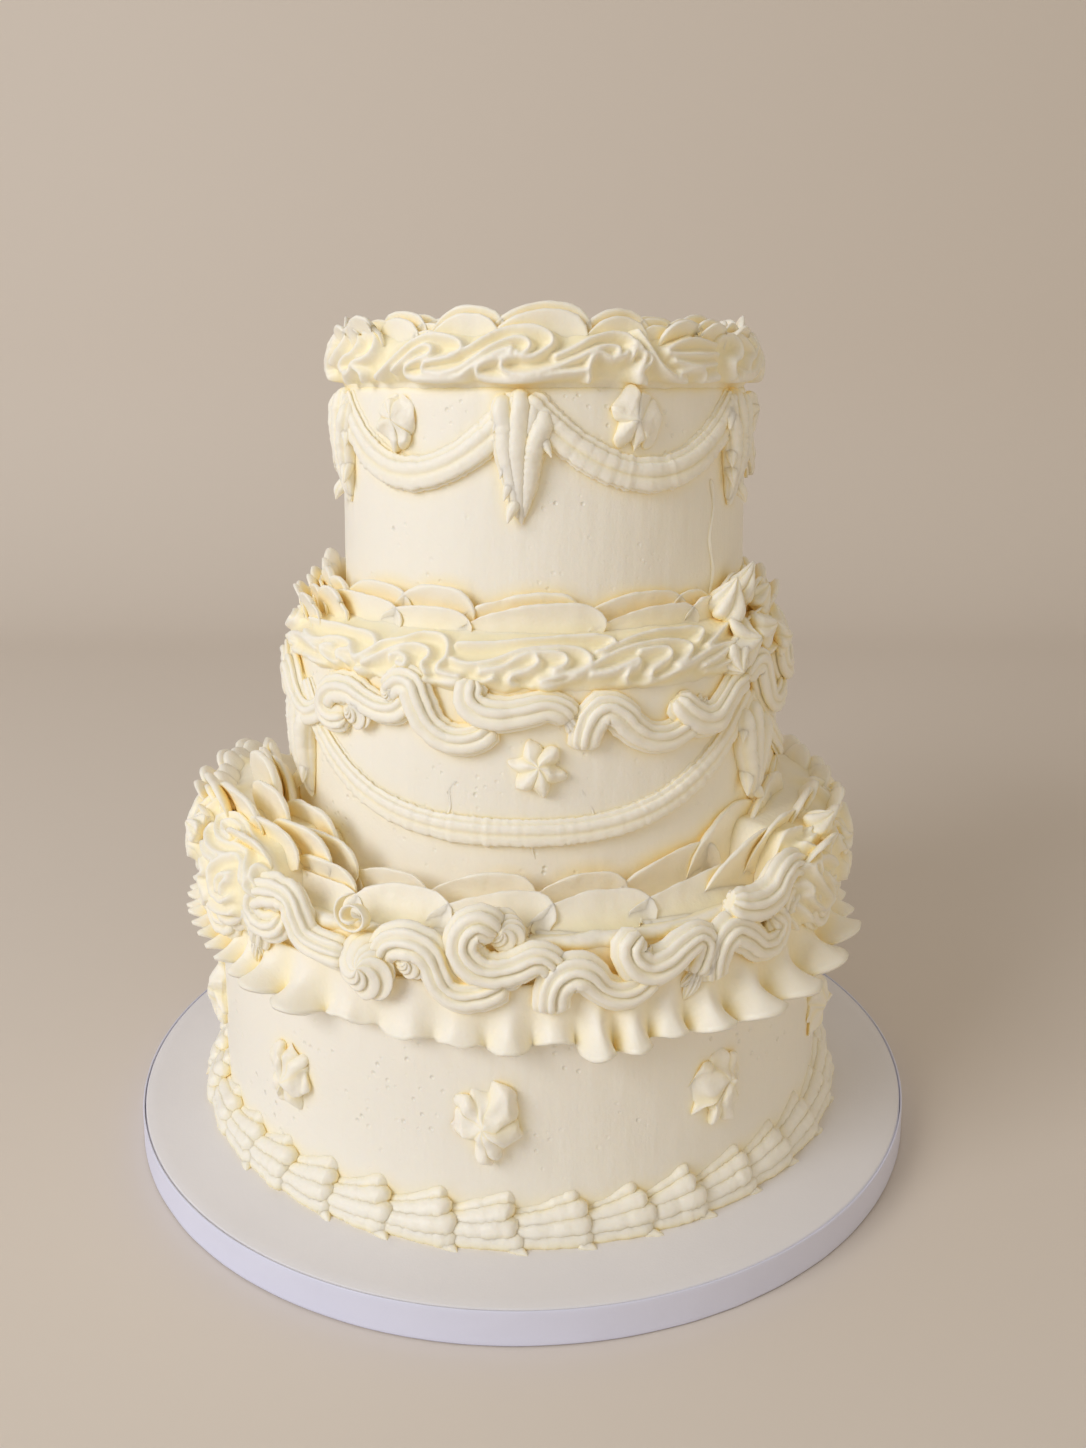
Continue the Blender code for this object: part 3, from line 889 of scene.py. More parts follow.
dropNozzle = {
    "Teeth": 3.0, "Depth": 0.22, "Crest": 0.5, "Uneven": 0.3, "Sides": 32, "Ragged": 0.8, "Wobble": 1.6}


def drops():
    # where two swags meet: lobes at the top, drawn down into one torn tail
    rng = random.Random(77)
    for row in ("top", "middle"):
        shape = dropShape[row]
        tier = shape["tier"]
        for i, angle in enumerate(shape["angles"], 1):
            mirror = rng.choice((-1, 1)) if i > 2 else 1
            lean, length = rng.uniform(-2.0, 2.0), rng.uniform(0.92, 1.04)
            if row == "middle":
                lean, length = (5.0, 0.92)
            strokes = []
            for lobe in dropShape["lobes"]:
                shove = rng.uniform(-0.8, 0.8)
                rows = []
                for x, z, girth in lobe:
                    aside = mirror * 0.84 * x + shove * (1 + z / 45) + lean * (z / 45) ** 2
                    rows.append((angle + degrees(tier, aside), shape["top"] + z * length,
                                 shape["out"] + 0.4 * girth, girth))
                strokes.append(laid(tier, rows, rng.uniform(-20, 20), (2.0, 2.0), 0.4, 1.0, 0.08))
            for k in range(5):
                # torn tongues down both sides
                x, z = rng.choice((-7, 7)) * (1 - 0.12 * k), shape["top"] - (8 + 7.5 * k) * length
                rows = [(angle + degrees(tier, x * w), z - v, shape["out"] + 0.6 + 4.6 * (w - 0.6), g)
                        for w, v, g in dropShape["tongue"]]
                strokes.append(laid(tier, rows, 10, (1, 0), 0.4, 1.0))
            name = f"{row}Drop{i}"
            mesh = pipe(name, strokes, dict(dropNozzle, Seed=rng.uniform(0, 40)))
            finished(name, mesh, (f"drop_{row}_{i}",))


drops()
print("drops")


# the petals' fold side is tinted warm yellow as painted shade
petalNozzle = {
    "Flatness": 0.13, "Blunt": 0.5, "Taper": -0.4, "Cup": 0.34, "FoldShade": 1.0, "Sides": 32, "Ragged": 0.8,
    "Wobble": 1.6}
kissNozzle = {
    "Teeth": 6.0, "Depth": 0.44, "Crest": 0.7, "Point": 0.15, "Uneven": 0.14, "Sides": 44, "Ragged": 0.8,
    "Wobble": 2.4, "Seed": 12.0}
roseNozzle = dict(petalNozzle, Flatness=0.2, Taper=-0.2, Cup=0.1, Wobble=1.0, Seed=21.0)
reliefLook = {
    "rim": 0.42, "thin": 0.62, "lean": 0.24, "broad": 3.8, "share": 0.46, "swell": 0.6, "plainShade": 0.3,
    "across": 11, "coarse": 2.0, "sunk": (116, -3), "dark": (1.25, 1.45), "shadeRise": 2.2, "closing": 2.0}


def relief(name, node, tier, face, back, strokes, height, fade, cell, seed, arc=None):
    # a ring of icing drawn into folds: every stroke leaves a thin rim that falls away to a smooth valley
    look = reliefLook
    front = smoothLine(face, cell, (1, 1))
    rest = smoothLine(back, look["coarse"], (1, 1))
    z, out = np.array(front + rest).T
    dz, dout = np.roll(z, -1) - np.roll(z, 1), np.roll(out, -1) - np.roll(out, 1)
    length = np.hypot(dz, dout)
    rise, reach = -dout / length, dz / length
    count = len(front)
    s = np.concatenate(([0.0], np.cumsum(np.hypot(np.diff(z[:count]), np.diff(out[:count])))))
    crest = z[:count] + rise[:count] * height
    last = int(np.argmax(crest)) + 1
    columns = round(turn * (tier["r"] + out[:count].mean()) / cell)
    field = np.zeros((count, columns))
    span = round(look["across"] / cell)
    for stroke in strokes:
        line = smoothLine(stroke, 0.5, scaled(tier, 1, 0))
        for i, (angle, high, level) in enumerate(line):
            before, after = line[max(i - 1, 0)], line[min(i + 1, len(line) - 1)]
            ahead = np.array((after[0] - before[0], after[1] - before[1])) * scaled(tier, 1)
            ahead /= max(np.hypot(*ahead), 1e-6)
            here = np.interp(high, crest[:last], s[:last])
            middle = angle % 360 / 360 * columns
            cells = np.arange(math.floor(middle) - span, math.floor(middle) + span + 2)
            near = slice(*np.searchsorted(s, (here - look["across"], here + look["across"])))
            x, y = np.meshgrid((cells - middle) * cell, s[near] - here)
            away = np.hypot(x, y)
            side = (ahead[0] * y - ahead[1] * x) / np.maximum(away, 0.01)
            fall = np.maximum(away - look["rim"], 0)
            rim = look["share"] * np.exp(-fall / (look["thin"] - look["lean"] * side))
            rim += (1 - look["share"]) * np.exp(-fall / look["broad"])
            field[near, cells % columns] = np.maximum(field[near, cells % columns], rim * level)
    smooth = (np.roll(field, 1, 1) + 2 * field + np.roll(field, -1, 1)) / 4
    field[1:-1] = (smooth[:-2] + 2 * smooth[1:-1] + smooth[2:]) / 4
    # the folds end in a torn foot, not in a line
    torn = [ringNoise(turn * c / columns, 14, seed) for c in range(columns)]
    field *= np.clip((s[:, None] - 1.5 - 2.5 * np.array(torn)) / fade, 0, 1) ** 0.8
    field *= np.clip((s[-1] - s) / look["closing"], 0, 1)[:, None]
    # painted shade: the valleys beside each rim, and a little the plain surface, are tinted warm yellow; the
    # rims keep the icing's own colour
    shade = np.clip(look["dark"][0] - look["dark"][1] * field, 0, 1)
    shade *= np.clip(look["plainShade"] + look["shadeRise"] * field, 0, 1)
    shown = range(columns)
    if arc:
        # only from one angle to another, sunk into the cake at both ends
        shown = range(round(arc[0] % 360 / 360 * columns), round(arc[1] % 360 / 360 * columns))
    points, grooveShades = [], []
    for r in range(len(z)):
        for c in shown:
            a = turn * c / columns
            proud = height * field[r, c] if r < count else 0.0
            where = Vector((9 * math.sin(a), 9 * math.cos(a), z[r] / 9 + seed))
            proud += look["swell"] * noise.noise(where) + 0.12 * noise.noise(where * 9)
            up, away = z[r] + rise[r] * proud, out[r] + reach[r] * proud
            if arc:
                u = min(1, (c - shown[0]) * cell / arc[2], (shown[-1] - c) * cell / arc[3])
                u = u * u * (3 - 2 * u)
                sunkZ, sunkOut = look["sunk"]
                up, away = sunkZ + (up - sunkZ) * u, min(away, sunkOut + (away - sunkOut) * u)
            points.append(spot(tier, 360 * c / columns, up, away))
            grooveShades.append(shade[r, c] if r < count else look["plainShade"])
    across, rows = len(shown), len(z)
    faces = bands(rows, across, around=not arc, through=True)
    if arc:
        # both ends are capped
        faces += [[r * across for r in range(rows)], [r * across + across - 1 for r in reversed(range(rows))]]
    finished(name, smoothMesh(name, points, faces, pipedCream, grooveShades), (node,))


def repeated(tier, centres, unit, seed, jitter=0.4):
    # the same strokes (along, z) at every centre, each time a little different
    rng = random.Random(seed)
    strokes = []
    for centre in centres:
        lift, grow = rng.uniform(-jitter, jitter), rng.uniform(0.93, 1.07)
        strokes += [[(centre + degrees(tier, along) * grow, z + lift, 1) for along, z in stroke]
                    for stroke in unit]
    return strokes


def coil(tier, angle, z, size, start, sense, turns=1.5):
    # one stroke of a relief wound into a rosette
    stroke = []
    steps = round(turns * 9)
    for i in range(steps + 1):
        u = i / steps
        a = math.radians(start) + sense * u * turns * turn
        reach = size * (1 - 0.78 * u)
        stroke.append((angle + degrees(tier, reach * math.cos(a)), z + reach * math.sin(a), 1.0 - 0.15 * u))
    return stroke


def level(strokes):
    # (angle, z) strokes whose rims keep their full height
    return [[(angle, z, 1.0) for angle, z in stroke] for stroke in strokes]


def petal(tier, start, peak, end, foot, out, lean, full=0.9):
    # a standing petal whose edge runs from start over its peak to end, all (angle, z), and grows from foot
    edge = [(start[0] + (peak[0] - start[0]) * u, start[1] + (peak[1] - start[1]) * v)
            for u, v in ((0, 0), (0.3, 0.56), (0.65, 0.88), (0.9, 0.995))]
    edge += [(end[0] + (peak[0] - end[0]) * u, end[1] + (peak[1] - end[1]) * v)
             for u, v in ((0.7, 0.99), (0.3, full), (0.06, 0.5), (0, 0))]
    rise = math.sin(math.radians((lean[0] + lean[1]) / 2))
    rows = [(edge[0][0] - degrees(tier, 2), foot, out[0], 1.0)]
    for i, (angle, z) in enumerate(edge):
        share = i / (len(edge) - 1)
        rows.append((angle, foot, out[0] + (out[1] - out[0]) * share, (z - foot) / rise))
    rows.append((edge[-1][0] + degrees(tier, 0.8), foot, out[1], max(1.0, 0.5 * (edge[-1][1] - foot) / rise)))
    return blade(tier, rows, lean)


crownShape = {
    "centres": (82, 103, 124, 145, 166, 187, 208, 229, 250, 271), "height": 6.6,
    "face": ((305.6, -1.7), (307.4, -1.1), (309.4, -0.9), (312.5, 0.6), (317.0, 0.8), (321.5, -0.4),
             (325.2, -2.6), (327.6, -5.8)),
    "back": ((328.0, -9.6), (326.4, -13), (322, -16), (316, -17.4), (309, -18), (305, -17), (305, -6)),
    "folds": (
        ((-21.8, 319.4), (-17.5, 321.8), (-13.9, 325.1), (-10, 328.2), (-6.1, 329.5), (-1.8, 329.1),
         (1.5, 326.8), (2.0, 323.4), (0.4, 321), (-2.3, 318.4), (-4.9, 318.0), (-6.2, 320)),
        ((-24, 312.5), (-19.8, 314.2), (-15.6, 318.3), (-11.6, 322.4), (-7.7, 325.1), (-4.5, 325.1),
         (-3.0, 322.4), (-4.8, 319.3), (-8.5, 317.4), (-9.6, 315), (-7.7, 312.5), (-3.9, 312.2),
         (1.5, 314.2), (7, 317.6), (12.5, 321.7), (16, 322.4), (17.5, 321.1), (16.1, 318)),
        ((-30.1, 310.8), (-26, 310.1), (-20.6, 310.8), (-16.9, 314.2), (-14, 316.9), (-10.2, 320.2),
         (-7.4, 321.6), (-7.4, 319.8), (-10.2, 317.9), (-14.2, 315.4), (-15.2, 312.3), (-12.8, 310.1),
         (-8.9, 309.5), (-3.4, 310.2), (2.7, 312.3), (9.7, 313.5)),
        ((2.5, 318.6), (6.8, 321.6), (11.4, 325.3), (15.8, 327.2), (19.8, 326.4), (21.4, 322.6),
         (20.4, 318.6)),
        ((-44, 311.0), (-39.5, 315.6), (-35.6, 320.2), (-32.0, 324.5), (-28.2, 326.8), (-24.4, 326.6),
         (-20.6, 325.0), (-19.0, 322.2), (-20.4, 319.2), (-24.2, 317.6), (-28.0, 316.2), (-28.6, 313.4),
         (-24, 312.5)),
        ((-38, 313.5), (-34.4, 317.2), (-31.2, 321.2), (-28.6, 322.9), (-26.6, 322.0), (-27.0, 319.6),
         (-30.6, 317.0), (-33.6, 314.2), (-33.2, 311.4), (-30.1, 310.4)),
        ((-51.6, 328.2), (-48.2, 328.6), (-45.6, 326.7), (-44.7, 323.9), (-45.7, 320.2), (-48.9, 317.7),
         (-52.9, 316.6), (-54.4, 313.5), (-57.7, 311.0), (-58.4, 308.5)),
        ((-53.5, 327.4), (-51.9, 325.2), (-52.0, 322.8), (-54.2, 320.4), (-58.0, 318.8), (-60.6, 315.6),
         (-59.4, 313.2), (-56.5, 313.1)),
        ((-60.6, 329.0), (-60.2, 326.4), (-61.6, 323.2), (-65.0, 320.0), (-68.2, 316.2)),
        ((-68.6, 328.0), (-70.5, 324.8), (-69.5, 321.8), (-71.5, 317.8), (-73.6, 314.0), (-72, 310.4)),
        ((-76, 329.0), (-77.5, 325.0), (-76, 321), (-79, 317), (-82, 313)),
        ((-52.9, 315.2), (-50.3, 313.1), (-49.2, 311.4), (-49.9, 309.0)),
        ((22.6, 328.0), (25.4, 321), (28, 315.1), (32.2, 310.6), (35.8, 308.8)),
        ((21.9, 323.9), (23.5, 318.5), (21.7, 312.6), (22.7, 308.8)),
        ((19.3, 319.7), (15.8, 317.6), (12.4, 319.6), (10.2, 315.9), (10.2, 309.2)),
        ((20.4, 321.8), (24.1, 319.7), (25.1, 316.8), (22.6, 312.6), (24.3, 308.2)),
        ((29.3, 321.1), (33, 323.8), (38.3, 327.6)), ((31.0, 322.6), (38.6, 325.3), (47.6, 324.2)),
        ((29.6, 319.8), (37.2, 319.5), (47.6, 320.4)), ((31.3, 317.0), (38, 315.2), (46.7, 316.0)),
        ((33.3, 312.8), (38.3, 313.9), (41.3, 312.4), (41.0, 309.4), (46.9, 310.6)),
        ((49.2, 326.6), (54.6, 327.4), (57.6, 324.2), (56.4, 319.2), (52.1, 316.2), (53.5, 310.9)),
        ((58.3, 328.1), (63.8, 325), (66.4, 320.4), (62.0, 316.6), (61.6, 311.0)),
        ((68.3, 328.1), (73.8, 324), (75.4, 318.4), (71.4, 313.8))),
    "unit": (((-24, 318.6), (-18, 320.6), (-10, 324.4), (-3, 328.0), (3.5, 329.3), (10, 328.4),
              (14.6, 325.6), (14.6, 321.8), (10.4, 318.8), (6.0, 317.8)),
             ((-34, 312.4), (-24, 313.4), (-16, 317.2), (-9, 321.8), (-3.0, 324.8), (2.5, 324.6),
              (4.4, 321.8), (1.4, 318.8), (-3.4, 316.4), (-4.4, 313.4), (-0.6, 312.2)),
             ((-38, 309.8), (-28, 310.0), (-20, 312.2), (-13, 316.0), (-7, 319.6), (-2.6, 321.2),
              (-2.2, 318.8), (-7.4, 316.4), (-11.6, 313.0), (-8.4, 310.2))),
    "domes": (
        ((-27.7, 326.6), (-19.9, 335.6), (-13.2, 324.8)), ((-12.3, 326.2), (0.4, 336.8), (8.4, 323.4)),
        ((10.8, 325.4), (18.8, 334.4), (23.8, 324.6)), ((-44.8, 327), (-41.6, 334.4), (-34.4, 323.4)),
        ((-36.4, 323), (-31.2, 330.0), (-27, 325)), ((24.4, 326), (28.4, 331.6), (32.6, 326)),
        ((30.3, 322), (39.3, 331.6), (44.0, 324)), ((44, 325), (50.4, 331.8), (56.0, 324)),
        ((-64, 325), (-61.2, 331.4), (-56.0, 325)), ((-78, 325), (-74.2, 331.4), (-68.0, 325)),
        ((58, 325), (65.4, 331.2), (72.0, 324)), ((74, 325), (81.4, 331.8), (88.0, 324))),
    "spikes": ((-50.7, 334.6), (-57.2, 331.0), (-64.6, 331.6), (35.0, 332.0), (46.5, 331.5), (61, 331)),
    "cell": 0.5, "domeRim": (316, (-3.0, -1.8), (97, 106)), "domeFace": (315, (-0.9, 0.1), (97, 104)),
    "backRim": (316, (-1.8, -0.6), (97, 106)), "secondRow": (314, (-8.4, -7.6), (98, 106)),
    "innerRow": (312, (-15.0, -14.2), (100, 108)), "spikeForm": (315, (-3.2, -2.6), (70, 76), 0.6)}


def crown():
    # a ring of drawn folds, and the petals that stand behind and over them
    shape = crownShape
    strokes = level(shape["folds"])
    for stroke in strokes[-8:-4]:
        # these run out flatter
        stroke[-1] = (*stroke[-1][:2], 0.7)
    strokes += repeated(topTier, shape["centres"], shape["unit"], 5)
    relief("crownFolds", "crown", topTier, shape["face"], shape["back"], strokes, shape["height"], 3.5,
           shape["cell"], 2.0)
    strokes = []
    for start, peak, end in shape["domes"]:
        # a thick rim rolled over the face under it
        strokes.append(petal(topTier, start, peak, end, *shape["domeRim"]))
        strokes.append(petal(topTier, (start[0] + 1.6, start[1]), (peak[0] + 0.4, peak[1] - 2.6),
                             (end[0] - 1.4, end[1] - 1), *shape["domeFace"]))
    for at in shape["centres"]:
        strokes.append(petal(topTier, (at - 11, 325), (at + 1.5, 335.0), (at + 8.6, 323.5),
                             *shape["backRim"]))
    # the second rim behind each dome, and the petals that close the ring inside
    for i in range(24):
        at = 15 * i + (3.0 if i % 2 else -1.0)
        strokes.append(petal(topTier, (at - 9, 323), (at + 2, 333.5 - (i * 5 % 3)), (at + 9, 322),
                             *shape["secondRow"]))
        strokes.append(petal(topTier, (at - 2, 320), (at + 7, 329.5 - (i * 7 % 3)), (at + 15, 319),
                             *shape["innerRow"]))
    for angle, tip in shape["spikes"]:
        strokes.append(petal(topTier, (angle - 3.4, tip - 8), (angle, tip), (angle + 2.6, tip - 7),
                             *shape["spikeForm"]))
    mesh = pipe("crownPetals", strokes, dict(petalNozzle, Sides=24, Seed=4.0))
    finished("crownPetals", mesh, ("crown",))


crown()
print("crown")


middleRuffleShape = {
    "centres": (86, 110.5, 135, 159.5, 184, 208.5, 233, 257.5), "height": 5.6,
    "face": ((200.6, -1.0), (202.2, -0.4), (204.2, -0.1), (206.2, -0.5), (209.2, -1.6), (213, -4.2),
             (218, -8.6), (221.4, -11.8)),
    "back": ((222.8, -16), (223, -20), (223, -24), (216, -25), (208, -24), (203, -16), (200.4, -6)),
    "folds": (
        ((-16.3, 219.3), (-7.0, 220.3), (0.2, 221.4), (8.8, 222.2), (14.9, 221.6), (16.6, 220.0),
         (14.3, 217.8), (12.4, 216.9)),
        ((-16.7, 214.6), (-13.2, 213.2), (-8.8, 214.4), (-4.5, 217.0), (-1.0, 218.4), (3.7, 218.9),
         (8.4, 218.4), (10.8, 216.1), (10.7, 213.6), (8.9, 211.2), (5.8, 209.5), (2.8, 208.4),
         (1.0, 207.4), (1.2, 206.1), (3.2, 205.9), (6.2, 207.7), (9.4, 211.2), (13.3, 214.7),
         (17.9, 217.3), (24.2, 218.9), (29.8, 218.8), (33.4, 217.4), (33.6, 215.1), (30.9, 212.0),
         (28.9, 210.2)),
        ((0.2, 215.6), (0.7, 213.9), (-1.5, 211.4), (-4.1, 209.8), (-4.8, 207.7), (-3.1, 205.3),
         (-0.6, 204.4)),
        ((-10.7, 210.9), (-6.4, 212.6), (-2.7, 216.0), (0.8, 217.2), (4.5, 217.0), (6.1, 215.8),
         (6.0, 213.4), (3.4, 211.0)),
        ((13.3, 216.8), (17.7, 219.4), (23.5, 221.5), (30.4, 222.3), (37.5, 221.7), (38.8, 220.0),
         (36.2, 217.3)),
        ((10.7, 209.9), (14.4, 210.4), (18.2, 212.6), (20.7, 214.0), (20.6, 212.3), (18.4, 210.4),
         (17.6, 207.6), (18.4, 204.8), (21.0, 204.0), (24.4, 205.8), (29.1, 208.9), (33.8, 211.9),
         (39.7, 214.4), (46.5, 214.7)),
        ((21.5, 216.4), (25.7, 217.0), (28.2, 216.3), (28.0, 213.8), (25.4, 211.6), (23.3, 209.8),
         (22.7, 207.3), (23.9, 205.9)),
        ((-39.1, 210.8), (-35.7, 213.8), (-33.4, 217.4), (-28.9, 219.4), (-24.7, 222.0), (-20.5, 221.8),
         (-18.3, 219.4), (-17.8, 215.1), (-19.0, 212.5), (-19.2, 210.3), (-16.6, 208.9), (-14.6, 208.7)),
        ((-36.9, 209.5), (-33.8, 212.8), (-29.9, 216.2), (-25.6, 218.1), (-22.3, 217.2), (-21.5, 214.7),
         (-22.7, 212.0), (-21.5, 208.8)),
        ((-30.4, 213.4), (-28.4, 214.8), (-26.3, 213.2), (-26.5, 210.6), (-28.4, 211.3)),
        ((-63.4, 218.6), (-53.6, 219.7), (-48.4, 220.1), (-43.7, 220.0), (-39.4, 219.8), (-36.5, 218.9),
         (-35.0, 217.2)),
        ((-61.2, 214.7), (-56.5, 213.5), (-52.5, 214.1), (-49.3, 215.7), (-44.5, 216.3), (-41.9, 215.1),
         (-40.9, 213.0), (-39.7, 211.5), (-38.0, 211.9), (-36.4, 213.9), (-34.1, 216.6)),
        ((-44.8, 207.0), (-48.2, 208.1), (-50.8, 210.6), (-50.5, 212.5), (-47.6, 213.5)),
        ((-41.7, 208.3), (-44.4, 209.6), (-45.1, 211.5), (-43.9, 212.8), (-41.6, 213.3)),
        ((-66.8, 207.8), (-70.3, 209.5), (-67.9, 211.5), (-62.1, 212.7), (-57.2, 211.9), (-52.7, 210.5)),
        ((-79.1, 205.8), (-75.2, 204.4), (-66.6, 204.1), (-61.2, 204.9), (-55.1, 205.6), (-49.3, 204.6)),
        ((-38.5, 206.8), (-33, 205.2), (-26, 205.0), (-19, 205.8), (-12, 206.2), (-8, 208.4)),
        ((38.0, 215.6), (49.5, 221.2), (53.5, 216.2), (49.4, 209.5)),
        ((35.4, 208.8), (42.7, 212.5), (47.6, 215.5)), ((36.4, 206.3), (42.9, 208.4), (49.2, 212.3)),
        ((37.3, 204.5), (43.2, 205.0), (49.4, 206.5)),
        ((53.4, 221.3), (59, 218.0), (64, 219.8), (68, 217.2)),
        ((54, 214.3), (60, 212.0), (66, 213.8), (71, 211.2)),
        ((54, 208.3), (60, 206.2), (66, 207.8), (71, 205.2)),
        ((-88, 219.3), (-81, 220.2), (-75, 218.8), (-73, 215.2), (-78, 212.0), (-82, 209.2)),
        ((-90, 213.3), (-84, 214.8), (-80.4, 213.2), (-84, 209.2))),
    "kisses": (
        (50.0, 221, -10.0, 84, 20, 17, 8.6), (51.0, 211, -3.0, 55, 65, 9, 11.5),
        (45.5, 208, -1.0, 250, 60, 9, 7.5), (57.5, 226, -11, 70, 20, 16, 6.5),
        (58, 214, -3, 30, 50, 10, 8.5), (64, 222, -9, 60, 35, 13, 7.5), (66, 209, 0, 10, 50, 9, 8)),
    "unit": (((-34, 214.5), (-22, 213.4), (-14, 216.6), (-6, 218.8), (4, 218.8), (8.4, 216.0),
              (7.0, 212.6), (1.4, 210.0), (-5, 208.2), (-7, 206.0), (-2, 205.6)),
             ((-26, 210.8), (-18, 212.6), (-12, 216.0), (-4, 217.0), (0, 214.8), (-4, 211.4), (-11, 209.4),
              (-14, 206.8), (-10, 204.6)),
             ((-30, 219.0), (-16, 220.4), (0, 222.0), (10, 221.8), (13.4, 219.6)),
             ((-2, 205.6), (6, 207.6), (12, 211.4), (18, 214.2))),
    "petals": (
        ((-58, 224.7), (-44.6, 235.3), (-34.6, 227), 0), ((-80, 215.9), (-49.8, 230.6), (-35, 225.1), 1),
        ((-35.1, 227.8), (-25.3, 236.3), (-18.0, 226), 0), ((-38, 224.4), (-26.5, 229.2), (-16.2, 223), 1),
        ((-17.4, 225.5), (2.0, 234.6), (7.4, 228.2), 0), ((-18.1, 221.4), (4.9, 231.6), (13.4, 226.4), 1),
        ((11.1, 224.8), (27.1, 233.8), (37.2, 227.2), 0), ((14.1, 222.0), (31.1, 229.0), (40.2, 223.2), 1),
        ((36.7, 224.9), (40.8, 232.1), (46.5, 227.6), 0), ((37.6, 220.5), (45, 229.7), (53.5, 221.6), 1)),
    "cell": 0.56, "rows": ((217, (-16.2, -15.0), (94, 100)), (217, (-12.4, -11.2), (92, 100))),
    "backRows": ((217, (-15.8, -14.6), (94, 100)), (216, (-12.0, -10.8), (92, 100)))}


def middleRuffles():
    # the middle ledge: folds drawn in an S below, two rows of petals against the wall above
    shape = middleRuffleShape
    strokes = level(shape["folds"]) + repeated(middleTier, shape["centres"], shape["unit"], 15)
    relief("middleFolds", "ruffles_middle", middleTier, shape["face"], shape["back"], strokes,
           shape["height"], 5.0, shape["cell"], 5.0)
    strokes = []
    for start, peak, end, row in shape["petals"]:
        strokes.append(petal(middleTier, start, peak, end, *shape["rows"][row]))
    rng = random.Random(16)
    # at both sides the ruffle breaks into upright petals, and runs on in loose ones round the back
    for i in range(24):
        side = -1 if i % 2 else 1
        angle = (58 + 3.8 * (i // 2)) * side + rng.uniform(-1, 1)
        reach = rng.uniform(5.2, 7.2)
        row = i % 3
        tip = (angle + 0.8, 233 + rng.uniform(0, 6) - 5 * row)
        strokes.append(petal(middleTier, (angle - reach, 219), tip, (angle + reach, 220), 213,
                             (-16 + 5.0 * row, -14.5 + 5.0 * row), (86 - 6 * row, 98 - 6 * row), 0.6))
    for i in range(26):
        at = 76 + 8.0 * i + rng.uniform(-1, 1)
        tall = rng.uniform(-1.4, 1.4)
        strokes.append(petal(middleTier, (at - 9, 223), (at + 2.4, 234 + tall), (at + 7, 225),
                             *shape["backRows"][0]))
        strokes.append(petal(middleTier, (at - 5, 220), (at + 5, 229 + tall), (at + 10, 222),
                             *shape["backRows"][1]))
    mesh = pipe("middlePetals", strokes, dict(petalNozzle, Sides=24, Seed=7.0))
    finished("middlePetals", mesh, ("ruffles_middle",))
    strokes = [kiss(middleTier, *item) for item in shape["kisses"]]
    finished("middleKisses", pipe("middleKisses", strokes, kissNozzle), ("ruffles_middle",))


middleRuffles()
print("middle ledge")


